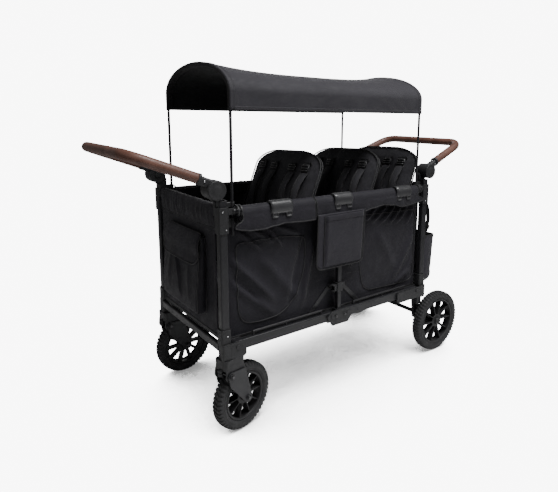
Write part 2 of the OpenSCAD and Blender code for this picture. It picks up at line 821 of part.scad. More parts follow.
// a point on the front face of a back, at height z
function back_x(k, z) = seat_top_x[k] - (seat_top_z - z) * tan(seat_lean);

module seat_back(k) {
    h = (seat_top_z - seat_low_z) / cos(seat_lean);
    translate([seat_top_x[k], 0, seat_top_z]) rotate([0, seat_lean, 0])
        along_x(0, seat_t)
        union() {
            translate([0, -h / 2]) rrect(2 * seat_half_w, h, 70);
            translate([0, -h + 60]) rrect(2 * seat_half_w, 120, 12);
        }
}

module seat_back_front() color(fabric_black) seat_back(0);
module seat_back_middle() color(fabric_black) seat_back(1);
module seat_back_rear() color(fabric_black) seat_back(2);

module seat_bases() color(fabric_black)
    for (k = [0 : 2]) {
        x1 = back_x(k, seat_low_z) + 24;
        translate([x1 - seat_depth[k] / 2, 0, 0])
            along_z(436, seat_low_z - 10) rrect(seat_depth[k], 2 * seat_half_w, 20);
    }

strap_w = 42;
// two pairs of padded shoulder straps to a row
strap_y = [-150, -63, 63, 150];
module harness_straps() color(plastic_black)
    for (k = [0 : 2], y = strap_y)
        translate([seat_top_x[k], y, seat_top_z]) rotate([0, seat_lean, 0])
            along_x(-6.5, -0.5)
            translate([0, -225]) rrect(strap_w, 330, 10);

// ---------- canopy ----------

arch_steps = 24;
cloth_in = pole_r + 0.6;

// point on the arch, grown outward by g, at step angle a from the far side
function arch_point(a, g) = [(pole_y + g) * cos(a), arch_z + (arch_rise + g) * sin(a)];

// two straight poles, and the arch that plugs into their tops
module hoop() {
    for (s = [-1, 1]) translate([hoop_x, s * pole_y, 700]) cylinder(h = arch_z - 700, r = pole_r);
    swept_tube(
        concat(
            [[hoop_x, pole_y, arch_z - 8]],
            [for (i = [0 : arch_steps])
                let (p = arch_point(180 * i / arch_steps, 0)) [hoop_x, p[0], p[1]]],
            [[hoop_x, -pole_y, arch_z - 8]]
        ),
        pole_r - 0.8, [1, 0, 0]
    );
}

module canopy_front_hoop() color(frame_black) at_front() hoop();
module canopy_rear_hoop() color(frame_black) hoop();

module canopy_cloth() color(canopy_grey)
    along_x(-hoop_x - 8, hoop_x + 8)
    polygon(concat(
        [[pole_y + cloth_in + cloth_t, canopy_edge_z]],
        [for (i = [0 : arch_steps]) arch_point(180 * i / arch_steps, cloth_in + cloth_t)],
        [[-pole_y - cloth_in - cloth_t, canopy_edge_z], [-pole_y - cloth_in, canopy_edge_z]],
        [for (i = [arch_steps : -1 : 0]) arch_point(180 * i / arch_steps, cloth_in)],
        [[pole_y + cloth_in, canopy_edge_z]]
    ));

// ---------- assembly ----------

front_posts();
front_castings();
front_cross_rails();
front_post_fittings();
tub_sides();
side_flaps();
floor_mat();
front_panel();
front_pocket();
seat_back_front();
seat_back_middle();
seat_back_rear();
seat_bases();
harness_straps();
canopy_cloth();
canopy_front_hoop();
canopy_rear_hoop();
front_side_rails();
rear_side_rails();
pivot_plates();
centre_frame();
centre_clips();
brace_collars();
front_braces();
rear_braces();
rear_posts();
rear_castings();
rear_cross_rails();
rear_legs();
rear_post_fittings();
rear_panel();
rear_basket();
brake_pedal();
top_front_rails();
top_rear_rails();
front_rail_clips();
rear_rail_clips();
front_handle_frame();
rear_handle_frame();
front_handle_grip();
rear_handle_grip();
hinge_button_front_near();
hinge_button_front_far();
hinge_button_rear_near();
hinge_button_rear_far();
front_clamp_levers();
rear_clamp_levers();
caster_swivel_near();
caster_swivel_far();
caster_fork_near();
caster_fork_far();
front_tyre_near();
front_tyre_far();
front_rim_near();
front_rim_far();
rear_tyre_near();
rear_tyre_far();
rear_rim_near();
rear_rim_far();
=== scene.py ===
"""The looks of a folding pull wagon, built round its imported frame. Metres, +Z up.

+X runs from the swivel-caster (front) end to the fixed-wheel (rear) end, and +Y from the near
to the far side. A side is -1 for near and 1 for far, and an end is -1 for front and 1 for rear.
"""

import json
from math import copysign, cos, exp, hypot, pi, radians, sin, sqrt, tan

import bpy
from mathutils import Matrix, Vector, noise


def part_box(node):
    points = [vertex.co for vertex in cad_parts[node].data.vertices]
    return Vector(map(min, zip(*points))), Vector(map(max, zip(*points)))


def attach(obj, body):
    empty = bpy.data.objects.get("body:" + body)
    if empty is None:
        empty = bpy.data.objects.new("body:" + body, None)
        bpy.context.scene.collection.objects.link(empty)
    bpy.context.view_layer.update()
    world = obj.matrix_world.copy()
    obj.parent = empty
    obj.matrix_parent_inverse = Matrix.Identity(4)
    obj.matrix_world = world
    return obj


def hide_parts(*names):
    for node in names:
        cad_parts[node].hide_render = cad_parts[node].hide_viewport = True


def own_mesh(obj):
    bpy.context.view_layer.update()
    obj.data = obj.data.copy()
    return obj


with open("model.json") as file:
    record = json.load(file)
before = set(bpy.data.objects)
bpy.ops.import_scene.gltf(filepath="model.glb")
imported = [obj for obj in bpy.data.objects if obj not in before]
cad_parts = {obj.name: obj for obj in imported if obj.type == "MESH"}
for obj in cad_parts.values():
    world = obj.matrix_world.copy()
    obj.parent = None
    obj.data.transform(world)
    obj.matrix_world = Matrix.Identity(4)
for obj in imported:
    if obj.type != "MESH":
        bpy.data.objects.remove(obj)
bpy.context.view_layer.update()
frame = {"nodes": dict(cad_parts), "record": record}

SIDES = {"near": -1, "far": 1}
ENDS = {"front": -1, "rear": 1}
TAU = 2 * pi


# ---------- places taken from the frame ----------


def low(node, axis):
    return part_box(node)[0]["XYZ".index(axis)]


def high(node, axis):
    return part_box(node)[1]["XYZ".index(axis)]


WALL_Y = 0.2390  # middle of the tub's side cloth
WALL_END_X = high("tub_sides", "X")
TUB_TOP_Z = high("tub_sides", "Z")
POST_HALF = 0.014
POST_X = high("rear_posts", "X") - POST_HALF
HOOP_R = 0.005
HOOP_X = high("canopy_rear_hoop", "X") - HOOP_R
POLE_Y = 0.250
CANOPY_EDGE_Z = low("canopy_cloth", "Z")
ARCH_Z = 1.161
ARCH_RISE = 0.098
# the share of its length that a soft piece would keep in the fold, and the place that it would be drawn
# towards; the pieces take these, but nothing here folds them
TUB_KEEP, FOLD_ANCHOR = 0.378, (-POST_X, 0, 0)
CANOPY_KEEP, CANOPY_ANCHOR = 0.320, (-HOOP_X, 0, 0)


# ---------- camera, light and floor ----------


CAMERA_AT = (-1.2046, -1.6591, 1.0915)
CAMERA_ANGLES = (-39.32, 10.05, 0.846)  # turned about Z, looking down and rolled, in degrees
CAMERA_LENS = 31.815
CAMERA_SHIFT = (-0.0867, -0.0772)


def make_camera():
    """It stands off the front near corner, level with the canopy's lower edge."""
    yaw, down, roll = (radians(a) for a in CAMERA_ANGLES)
    back = Vector((sin(yaw) * cos(down), -cos(yaw) * cos(down), sin(down)))
    level = Vector((cos(yaw), sin(yaw), 0))
    right = level * cos(roll) + back.cross(level) * sin(roll)
    data = bpy.data.cameras.new("camera")
    data.lens = CAMERA_LENS
    data.sensor_width = 36
    data.shift_x, data.shift_y = CAMERA_SHIFT
    data.clip_start, data.clip_end = 0.05, 60
    camera = bpy.data.objects.new("camera", data)
    turn = Matrix((right, back.cross(right), back)).transposed().to_4x4()
    camera.matrix_world = Matrix.Translation(CAMERA_AT) @ turn
    bpy.context.scene.collection.objects.link(camera)
    bpy.context.scene.camera = camera


MIDDLE = (0, 0, 0.6)
LIGHTS = {
    # place, target, size and power
    "light_above": ((0.3, -1.45, 3.5), (0, 0, 0.3), (1.8, 1.0), 190),
    "light_near_side": ((2.3, -2.6, 2.3), MIDDLE, (0.9, 0.9), 17),
    "light_front": ((-3.2, -0.9, 2.2), MIDDLE, (1.2, 1.2), 7),
    "light_back": ((2.0, 3.2, 2.0), MIDDLE, (2.4, 2.0), 24),
}
SURROUNDINGS = 0.20
BACKDROP = 8.6
FLOOR_FADE = (1.2, 2.6)
SHADOW_REACH = 1.1
SHADOW = (0.372, 0.66, 0.30, BACKDROP)  # how open the floor is, from and to, and how bright that looks


def area_light(name, place, target, size, power):
    data = bpy.data.lights.new(name, "AREA")
    data.shape = "RECTANGLE"
    data.size, data.size_y = size
    data.energy = power
    light = bpy.data.objects.new(name, data)
    light.location = place
    light.rotation_euler = (Vector(target) - Vector(place)).to_track_quat("-Z", "Y").to_euler()
    bpy.context.scene.collection.objects.link(light)


def make_light():
    """A white studio: pale surroundings, a strong light above and three weaker ones round the wagon."""
    world = bpy.data.worlds.new("studio")
    bpy.context.scene.world = world
    world.use_nodes = True
    tree = world.node_tree
    seen, lit = tree.nodes["Background"], tree.nodes.new("ShaderNodeBackground")
    seen.inputs["Color"].default_value = (BACKDROP, BACKDROP, BACKDROP, 1)
    lit.inputs["Color"].default_value = (1, 1, 1, 1)
    lit.inputs["Strength"].default_value = SURROUNDINGS
    mix, path = tree.nodes.new("ShaderNodeMixShader"), tree.nodes.new("ShaderNodeLightPath")
    tree.links.new(path.outputs["Is Camera Ray"], mix.inputs[0])
    tree.links.new(lit.outputs[0], mix.inputs[1])
    tree.links.new(seen.outputs[0], mix.inputs[2])
    tree.links.new(mix.outputs[0], tree.nodes["World Output"].inputs["Surface"])
    for name, settings in LIGHTS.items():
        area_light(name, *settings)


def make_floor():
    """A pale disc that fades into the backdrop well away from the wagon."""
    mesh = bpy.data.meshes.new("floor")
    rim = [(4 * cos(TAU * k / 96), 4 * sin(TAU * k / 96), 0) for k in range(96)]
    mesh.from_pydata(rim, [], [list(range(96))])
    floor = bpy.data.objects.new("floor", mesh)
    bpy.context.scene.collection.objects.link(floor)
    mat = bpy.data.materials.new("pale_floor")
    mat.use_nodes = True
    tree = mat.node_tree
    shader = tree.nodes["Principled BSDF"]
    shader.inputs["Base Color"].default_value = (0.86, 0.86, 0.86, 1)
    shader.inputs["Roughness"].default_value = 0.9
    shader.inputs["Specular IOR Level"].default_value = 0.0
    # the camera sees white paper that darkens only where the wagon hides the studio from it
    open_sky = tree.nodes.new("ShaderNodeAmbientOcclusion")
    open_sky.inputs["Distance"].default_value = SHADOW_REACH
    open_sky.samples = 12
    shade = tree.nodes.new("ShaderNodeMapRange")
    paper = tree.nodes.new("ShaderNodeEmission")
    place = tree.nodes.new("ShaderNodeTexCoord")
    far = tree.nodes.new("ShaderNodeVectorMath")
    far.operation = "LENGTH"
    fade = tree.nodes.new("ShaderNodeMapRange")
    fade.interpolation_type = shade.interpolation_type = "SMOOTHSTEP"
    for node, values in ((fade, (*FLOOR_FADE, 0.0, 1.0)), (shade, SHADOW)):
        for socket, value in zip(("From Min", "From Max", "To Min", "To Max"), values):
            node.inputs[socket].default_value = value
    path = tree.nodes.new("ShaderNodeLightPath")
    seen, mix = tree.nodes.new("ShaderNodeMixShader"), tree.nodes.new("ShaderNodeMixShader")
    clear = tree.nodes.new("ShaderNodeBsdfTransparent")
    tree.links.new(open_sky.outputs["AO"], shade.inputs["Value"])
    tree.links.new(shade.outputs["Result"], paper.inputs["Strength"])
    tree.links.new(path.outputs["Is Camera Ray"], seen.inputs[0])
    tree.links.new(shader.outputs[0], seen.inputs[1])
    tree.links.new(paper.outputs[0], seen.inputs[2])
    tree.links.new(place.outputs["Object"], far.inputs[0])
    tree.links.new(far.outputs["Value"], fade.inputs["Value"])
    tree.links.new(fade.outputs["Result"], mix.inputs[0])
    tree.links.new(seen.outputs[0], mix.inputs[1])
    tree.links.new(clear.outputs[0], mix.inputs[2])
    tree.links.new(mix.outputs[0], tree.nodes["Material Output"].inputs["Surface"])
    mesh.materials.append(mat)


# ---------- materials ----------


class Finish:
    """One procedural material, with short calls for its nodes.

    Patterns follow the piece's own coordinates.
    """

    def __init__(self, name, rough, specular=0.5, sheen=0.0, metallic=0.0, coat=0.0):
        self.mat = bpy.data.materials.new(name)
        self.mat.use_nodes = True
        self.tree = self.mat.node_tree
        self.shader = self.tree.nodes["Principled BSDF"]
        put = self.shader.inputs
        put["Roughness"].default_value = rough
        put["Specular IOR Level"].default_value = specular
        put["Metallic"].default_value = metallic
        put["Sheen Weight"].default_value = sheen
        put["Sheen Roughness"].default_value = 0.5
        put["Coat Weight"].default_value = coat
        self.place = self.add("ShaderNodeTexCoord").outputs["Object"]
        self.normal = None

    def add(self, kind, inputs=None, **settings):
        made = self.tree.nodes.new(kind)
        for key, value in settings.items():
            setattr(made, key, value)
        for key, value in (inputs or {}).items():
            if isinstance(value, bpy.types.NodeSocket):
                self.tree.links.new(value, made.inputs[key])
            else:
                made.inputs[key].default_value = value
        return made

    def noise(self, scale, detail=3, rough=0.5, stretch=None):
        """Cloudy values from 0 to 1; stretch squeezes the pattern along the axes."""
        place = self.place
        if stretch:
            place = self.add("ShaderNodeMapping", {"Vector": place, "Scale": stretch}).outputs["Vector"]
        found = self.add("ShaderNodeTexNoise", {"Vector": place, "Scale": scale, "Detail": detail,
                                                "Roughness": rough})
        return found.outputs["Fac"]

    def cells(self, scale, feature="F1", output="Distance"):
        return self.add("ShaderNodeTexVoronoi", {"Vector": self.place, "Scale": scale},
                        feature=feature).outputs[output]

    def math(self, operation, a, b=0.0, clamp=False):
        return self.add("ShaderNodeMath", {0: a, 1: b}, operation=operation, use_clamp=clamp).outputs[0]

    def ranged(self, value, start, end, first, last):
        put = {"Value": value, "From Min": start, "From Max": end, "To Min": first, "To Max": last}
        return self.add("ShaderNodeMapRange", put).outputs["Result"]

    def waves(self, pitch):
        """The sines of the three coordinates, one turn to a pitch."""
        parts = self.add("ShaderNodeSeparateXYZ", {"Vector": self.place})
        return [self.math("SINE", self.math("MULTIPLY", parts.outputs[a], TAU / pitch)) for a in "XYZ"]

    def weave(self, pitch):
        """A plain weave on any flat face, whichever way it lies."""
        x, y, z = self.waves(pitch)
        pairs = [self.math("MULTIPLY", a, b) for a, b in ((x, y), (y, z), (x, z))]
        return self.math("ADD", self.math("ADD", pairs[0], pairs[1]), pairs[2])

    def twill(self, pitch):
        """Slanted ribs, as on webbing."""
        parts = self.add("ShaderNodeSeparateXYZ", {"Vector": self.place})
        slant = self.math("ADD", self.math("ADD", parts.outputs["X"], parts.outputs["Y"]),
                          parts.outputs["Z"])
        return self.math("SINE", self.math("MULTIPLY", slant, TAU / pitch))

    def tone(self, value, dark, light):
        """Base colour that runs from dark to light with the value."""
        mix = self.add("ShaderNodeMix", {0: value, 6: (*dark, 1), 7: (*light, 1)}, data_type="RGBA")
        return mix.outputs[2]

    def colour(self, socket):
        self.tree.links.new(socket, self.shader.inputs["Base Color"])

    def roughness(self, value, smooth, coarse):
        self.tree.links.new(self.ranged(value, 0.3, 0.7, smooth, coarse), self.shader.inputs["Roughness"])

    def bump(self, height, distance, strength=1.0):
        put = {"Height": height, "Distance": distance, "Strength": strength}
        if self.normal is not None:
            put["Normal"] = self.normal
        self.normal = self.add("ShaderNodeBump", put).outputs["Normal"]
        self.tree.links.new(self.normal, self.shader.inputs["Normal"])

    def soften_edges(self, radius):
        """Rounds the shading of hard edges, and returns how close a point is to one, from 0 to 1."""
        self.normal = self.add("ShaderNodeBevel", {"Radius": radius}, samples=6).outputs["Normal"]
        flat = self.add("ShaderNodeNewGeometry").outputs["Normal"]
        along = self.add("ShaderNodeVectorMath", {0: self.normal, 1: flat}, operation="DOT_PRODUCT")
        return self.ranged(along.outputs["Value"], 0.99, 0.75, 0.0, 1.0)


def painted_metal():
    f = Finish("powder_coat", 0.42, specular=0.35)
    edge = f.soften_edges(0.0016)
    body = f.tone(f.noise(9, 5), (0.0070, 0.0069, 0.0082), (0.0105, 0.0104, 0.0122))
    worn = f.math("MULTIPLY", edge, f.ranged(f.noise(60, 4), 0.35, 0.7, 0.25, 1.0))
    mix = f.add("ShaderNodeMix", {0: worn, 6: body, 7: (0.045, 0.045, 0.049, 1)}, data_type="RGBA")
    f.colour(mix.outputs[2])
    f.roughness(f.noise(35, 5), 0.34, 0.50)
    f.bump(f.noise(1400, 2), 0.00006)
    return f.mat


def moulded_plastic(name="moulded_plastic", dark=0.0085, light=0.0135, specular=0.35, rough=0.46):
    f = Finish(name, 0.55, specular=specular)
    edge = f.soften_edges(0.0014)
    body = f.tone(f.noise(14, 4), (dark, dark, dark * 1.1), (light, light, light * 1.1))
    mix = f.add("ShaderNodeMix", {0: f.math("MULTIPLY", edge, 0.6), 6: body, 7: (0.034, 0.034, 0.037, 1)},
                data_type="RGBA")
    f.colour(mix.outputs[2])
    f.roughness(f.noise(50, 5), rough, rough + 0.16)
    f.bump(f.cells(1600), 0.00007)
    return f.mat


def cloth(name, dark, light, pitch, specular=0.14, sheen=0.04, crease=0.0022):
    """Woven cloth: yarns, thread-to-thread colour, patches that catch more light, and small soft creases."""
    f = Finish(name, 0.85, specular=specular, sheen=sheen)
    thread = f.math("ADD", f.math("MULTIPLY", f.noise(1100, 2), 0.6),
                    f.math("MULTIPLY", f.noise(7, 4), 0.5))
    f.colour(f.tone(f.ranged(thread, 0.35, 0.75, 0.0, 1.0), dark, light))
    f.roughness(f.noise(22, 4), 0.50, 0.66)
    f.bump(f.noise(26, 4, 0.55), crease)
    f.bump(f.weave(pitch), 0.00012, 0.8)
    return f.mat


def webbing():
    f = Finish("webbing", 0.75, specular=0.2, sheen=0.05)
    f.colour(f.tone(f.noise(500, 3), (0.007, 0.007, 0.008), (0.015, 0.015, 0.017)))
    f.bump(f.twill(0.0022), 0.00025, 0.8)
    f.bump(f.noise(700, 2), 0.00008)
    return f.mat


def binding():
    f = Finish("binding_tape", 0.55, specular=0.4)
    f.colour(f.tone(f.noise(300, 3), (0.0030, 0.0030, 0.0036), (0.0080, 0.0078, 0.0090)))
    f.bump(f.twill(0.0012), 0.00012, 0.7)
    return f.mat


def leather():
    f = Finish("brown_leather", 0.5, specular=0.32, coat=0.04)
    patch = f.math("ADD", f.math("MULTIPLY", f.noise(16, 5), 0.7),
                   f.math("MULTIPLY", f.noise(160, 4), 0.35))
    f.colour(f.tone(f.ranged(patch, 0.35, 0.72, 0.0, 1.0), (0.062, 0.026, 0.018), (0.122, 0.056, 0.040)))
    f.roughness(f.noise(60, 4), 0.42, 0.60)
    f.bump(f.cells(700, "DISTANCE_TO_EDGE"), 0.00035, 0.5)
    f.bump(f.noise(900, 3), 0.00012)
    return f.mat


def thread(name, tone):
    f = Finish(name, 0.6, specular=0.3)
    f.colour(f.tone(f.noise(900, 2), tuple(0.7 * c for c in tone), tone))
    f.bump(f.twill(0.0006), 0.0001)
    return f.mat


def tyre_rubber():
    f = Finish("tyre_rubber", 0.72, specular=0.3)
    dust = f.math("ADD", f.math("MULTIPLY", f.noise(18, 5), 0.6), f.math("MULTIPLY", f.noise(300, 3), 0.4))
    f.colour(f.tone(f.ranged(dust, 0.35, 0.7, 0.0, 1.0), (0.011, 0.011, 0.012), (0.024, 0.024, 0.025)))
    f.roughness(f.noise(40, 4), 0.62, 0.82)
    f.bump(f.noise(1200, 3), 0.0001)
    return f.mat


def steel(name, dark, light):
    f = Finish(name, 0.28, metallic=1.0)
    f.colour(f.tone(f.noise(200, 4), (dark, dark, dark * 1.03), (light, light, light * 1.03)))
    f.roughness(f.noise(300, 4, stretch=(1, 1, 12)), 0.2, 0.42)
    return f.mat


def make_finishes():
    return {
        "frame_metal": painted_metal(),
        "moulded_plastic": moulded_plastic(),
        "rim_plastic": moulded_plastic("rim_plastic", 0.0065, 0.0105),
        "tub_fabric": cloth("tub_polyester", (0.0062, 0.0057, 0.0079), (0.0150, 0.0140, 0.0186), 0.0016),
        # the tub's polyester with a coarser weave; its colour is painted lighter, a painted highlight for
        # the light that the side flaps, side pockets and rear basket catch
        "panel_fabric": cloth("panel_polyester_painted_lighter", (0.0125, 0.0117, 0.0150), (0.0255, 0.0240, 0.0300),
                              0.0022),
        "seat_fabric": cloth("seat_cloth", (0.0180, 0.0176, 0.0205), (0.0360, 0.0352, 0.0400), 0.0014),
        "pad_fabric": cloth("pad_mesh_cloth", (0.0150, 0.0147, 0.0170), (0.0330, 0.0323, 0.0365), 0.0026),
        "canopy_fabric": cloth("canopy_cloth", (0.0165, 0.0156, 0.0190), (0.0245, 0.0233, 0.0278), 0.0012,
                               crease=0.0004),
        "lining": cloth("canopy_lining", (0.0055, 0.0055, 0.0060), (0.0100, 0.0100, 0.0110), 0.0012),
        "webbing": webbing(),
        "binding": binding(),
        "grip_leather": leather(),
        "grip_thread": thread("brown_thread", (0.11, 0.045, 0.03)),
        "black_thread": thread("black_thread", (0.02, 0.02, 0.022)),
        "tyre_rubber": tyre_rubber(),
        "steel": steel("bolt_steel", 0.32, 0.52),
        "dark_steel": steel("blackened_steel", 0.06, 0.12),
        "clip_plastic": moulded_plastic("clip_plastic", 0.013, 0.020, specular=0.5, rough=0.34),
    }


SLOT_OF = {
    "panel_fabric": "tub_fabric",
    "pad_fabric": "seat_fabric",
    "lining": "canopy_fabric",
    "binding": "webbing",
    "grip_thread": "grip_leather",
    "black_thread": "webbing",
    "dark_steel": "steel",
    "clip_plastic": "moulded_plastic",
}


# ---------- shapes ----------


class Shape:
    """Vertices and faces that are gathered into one mesh."""

    def __init__(self, *parts):
        self.points, self.faces = [], []
        for part in parts:
            self.add(part)

    def add(self, part):
        points, faces = part if isinstance(part, tuple) else (part.points, part.faces)
        first = len(self.points)
        self.points += [Vector(p) for p in points]
        self.faces += [[first + i for i in f] for f in faces]
        return self

    def moved(self, matrix):
        flip = matrix.determinant() < 0
        faces = [list(reversed(f)) for f in self.faces] if flip else self.faces
        return Shape(([matrix @ p for p in self.points], faces))


def mirror(shape, axis):
    scale = [-1 if a == axis else 1 for a in "XYZ"]
    return shape.moved(Matrix.Diagonal((*scale, 1)))


def on_side(shape, side):
    """A shape drawn for the far side, on the side asked for."""
    return shape if side > 0 else mirror(shape, "Y")


def on_end(shape, end):
    """A shape drawn for the rear end, on the end asked for."""
    return shape if end > 0 else mirror(shape, "X")


def turned_over(shape):
    """The same surface with its faces looking the other way."""
    return Shape((shape.points, [list(reversed(f)) for f in shape.faces]))


def both_faces(*shapes):
    """Each shape, and the same shape on the other side of the XY plane."""
    return Shape(*(s for shape in shapes for s in (shape, shape.moved(Matrix.Rotation(pi, 4, "X")))))


def facing(place, axis):
    """Carries what is drawn along Z to a place, looking along an axis."""
    return Matrix.Translation(place) @ Vector(axis).to_track_quat("Z", "Y").to_matrix().to_4x4()


def mesh_of(name, shape, smooth=True):
    mesh = bpy.data.meshes.new(name)
    mesh.from_pydata([tuple(p) for p in shape.points], [], shape.faces)
    mesh.polygons.foreach_set("use_smooth", [smooth] * len(mesh.polygons))
    mesh.update()
    return mesh


FINISH = {}


def piece(name, shape, finish, body, smooth=True, modifiers=(), crumple=None, anchor=None):
    """A new visible piece that rides on a CAD body.

    crumple is the share of its length that a fabric piece would keep in the fold; nothing here folds the
    piece, and any crumple only gives it a mesh of its own.
    """
    mesh = shape if isinstance(shape, bpy.types.Mesh) else mesh_of(name, shape, smooth)
    mesh.materials.clear()
    mesh.materials.append(FINISH[finish])
    made = bpy.data.objects.new(name, mesh)
    bpy.context.scene.collection.objects.link(made)
    for kind, settings in modifiers:
        modifier = made.modifiers.new(kind.lower(), kind)
        for key, value in settings.items():
            setattr(modifier, key, value)
    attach(made, body)
    SLOT_OF.get(finish, finish)
    if crumple:
        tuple(anchor or FOLD_ANCHOR)
        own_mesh(made)
    return made


def tub_piece(name, shape, side, finish, **settings):
    """A piece of the tub's side cloth, drawn for the far side; it carries the tub's fold share, but nothing
    here folds it.
    """
    return piece(name, on_side(shape, side), finish, "front_end", crumple=TUB_KEEP, **settings)


def thick(thickness, offset=0.0):
    return ("SOLIDIFY", {"thickness": thickness, "offset": offset})


def rounded(width, segments=2, angle=0.6):
    return ("BEVEL", {"width": width, "segments": segments, "limit_method": "ANGLE", "angle_limit": angle})


def grid(nu, nv, point, keep=None):
    """A sheet of nu by nv quads; point(u, v) places its corners, with u and v from 0 to 1."""
    points = [point(i / nu, j / nv) for i in range(nu + 1) for j in range(nv + 1)]
    faces = []
    for i in range(nu):
        for j in range(nv):
            if keep is None or keep((i + 0.5) / nu, (j + 0.5) / nv):
                a = i * (nv + 1) + j
                faces.append([a, a + nv + 1, a + nv + 2, a + 1])
    used = sorted({i for f in faces for i in f})
    place = {old: new for new, old in enumerate(used)}
    return Shape(([points[i] for i in used], [[place[i] for i in f] for f in faces]))


def circle(radius, sides=10):
    return [(radius * cos(TAU * k / sides), radius * sin(TAU * k / sides)) for k in range(sides)]


def rounded_box_outline(width, height, radius, steps=4):
    outline = []
    for cx, cy, start in ((1, 1, 0), (-1, 1, 90), (-1, -1, 180), (1, -1, 270)):
        for k in range(steps + 1):
            a = radians(start + 90 * k / steps)
            x = cx * (width / 2 - radius) + radius * cos(a)
            outline.append((x, cy * (height / 2 - radius) + radius * sin(a)))
    return outline


def sweep(path, outline, up=None, closed=False):
    """Carries a closed outline along a path. Its second axis stays as near to up as the path lets it."""
    path = [Vector(p) for p in path]
    n, m = len(path), len(outline)
    points, last_up = [], None
    for i, p in enumerate(path):
        ahead = path[(i + 1) % n] if closed else path[min(i + 1, n - 1)]
        behind = path[i - 1] if closed else path[max(i - 1, 0)]
        along = (ahead - behind).normalized()
        aim = Vector(up(i) if callable(up) else up) if up is not None else (last_up or along.orthogonal())
        last_up = (aim - along * aim.dot(along)).normalized()
        across = along.cross(last_up)
        points += [p + across * a + last_up * b for a, b in outline]
    faces = []
    for i in range(n if closed else n - 1):
        j = (i + 1) % n
        faces += [[i * m + k, i * m + (k + 1) % m, j * m + (k + 1) % m, j * m + k] for k in range(m)]
    if not closed:
        faces += [list(reversed(range(m))), [(n - 1) * m + k for k in range(m)]]
    return Shape((points, faces))


def tube(path, radius, sides=8, closed=False, up=None):
    return sweep(path, circle(radius, sides), up, closed)


def lathe(outline, steps=48, start=0.0, end=TAU):
    """Turns an outline of (radius, height) pairs about Z."""
    whole = end - start > TAU - 1e-6
    rings = steps if whole else steps + 1
    points = [
        (r * cos(start + (end - start) * k / steps), r * sin(start + (end - start) * k / steps), z)
        for k in range(rings)
        for r, z in outline
    ]
    m = len(outline)
    faces = [
        [k * m + i, (k + 1) % rings * m + i, (k + 1) % rings * m + i + 1, k * m + i + 1]
        for k in range(steps)
        for i in range(m - 1)
    ]
    return Shape((points, faces))


def curve(corners, steps=8, closed=False):
    """A smooth line through the corners."""
    pts = [Vector(c) for c in corners]
    n = len(pts)
    line = []
    for i in range(n if closed else n - 1):
        a, b, c, d = (pts[(i + k) % n] if closed else pts[min(max(i + k, 0), n - 1)] for k in (-1, 0, 1, 2))
        for s in range(steps):
            t = s / steps
            line.append(
                0.5 * (2 * b + (c - a) * t + (2 * a - 5 * b + 4 * c - d) * t * t
                       + (3 * b - a - 3 * c + d) * t ** 3)
            )
    return line if closed else line + [pts[-1]]


def bend_corners(corners, radius, steps=5, closed=True):
    """A line with straight stretches and rounded corners; radius is one value or one for each corner."""
    pts = [Vector(c) for c in corners]
    n = len(pts)
    line = []
    for i, p in enumerate(pts):
        r = radius[i] if hasattr(radius, "__len__") else radius
        if (not closed and i in (0, n - 1)) or r == 0:
            line.append(p)
            continue
        before, after = (pts[i - 1] - p), (pts[(i + 1) % n] - p)
        a = p + before.normalized() * min(r, before.length * 0.49)
        b = p + after.normalized() * min(r, after.length * 0.49)
        for k in range(steps + 1):
            t = k / steps
            line.append(a * (1 - t) ** 2 + p * 2 * t * (1 - t) + b * t * t)
    return line


def evenly(line, step, closed=False):
    """The line's points again, about a step apart."""
    pts = [Vector(p) for p in line] + ([Vector(line[0])] if closed else [])
    reach = [0.0]
    for a, b in zip(pts, pts[1:]):
        reach.append(reach[-1] + (b - a).length)
    count = max(2, round(reach[-1] / step))
    out, i = [], 0
    for k in range(count if closed else count + 1):
        want = reach[-1] * k / count
        while i < len(pts) - 2 and reach[i + 1] < want:
            i += 1
        t = (want - reach[i]) / max(reach[i + 1] - reach[i], 1e-9)
        out.append(pts[i].lerp(pts[i + 1], min(max(t, 0), 1)))
    return out


def stitches(line, up, length=0.0032, gap=0.0022, radius=0.00035):
    """A row of short raised threads along a line."""
    marks = evenly(line, (length + gap) / 2)
    made = Shape()
    for i in range(0, len(marks) - 1, 2):
        made.add(tube([marks[i], marks[i + 1]], radius, 5, up=up))
    return made


def dome(radius, height, place, axis, sides=14):
    """A rounded rivet head that stands on place and faces along axis."""
    outline = [(max(radius * cos(a), 1e-5), height * sin(a)) for a in (radians(18 * k) for k in range(6))]
    return lathe(outline, sides).moved(facing(place, axis))


def hex_bolt(radius, height, place, axis):
    """A hexagonal head with a chamfered top and a shallow dish."""
    outline = [(radius, 0), (radius, height * 0.75), (radius * 0.88, height), (radius * 0.5, height),
               (1e-5, height * 0.8)]
    return lathe(outline, 6).moved(facing(place, axis))


def smooth_step(t):
    t = min(max(t, 0.0), 1.0)
    return t * t * (3 - 2 * t)


def cloud(x, y, z):
    """Smooth random heights between -1 and 1, the same every run."""
    return noise.noise(Vector((x, y, z)))


def fold_line(x, z, start, end, width, depth):
    """Height of one soft crease that runs from start to end in the plane of a panel."""
    ax, az = start
    dx, dz = end[0] - ax, end[1] - az
    long = hypot(dx, dz)
    t = ((x - ax) * dx + (z - az) * dz) / long ** 2
    off = ((x - ax) * dz - (z - az) * dx) / long
    if not -0.25 < t < 1.25:
        return 0.0
    fade = smooth_step((t + 0.25) / 0.4) * smooth_step((1.25 - t) / 0.5)
    return depth * fade * exp(-((off / width) ** 2))


# ---------- canopy ----------

CLOTH_OUT = 0.0062  # outer face of the canopy cloth, outward from the poles' middle line


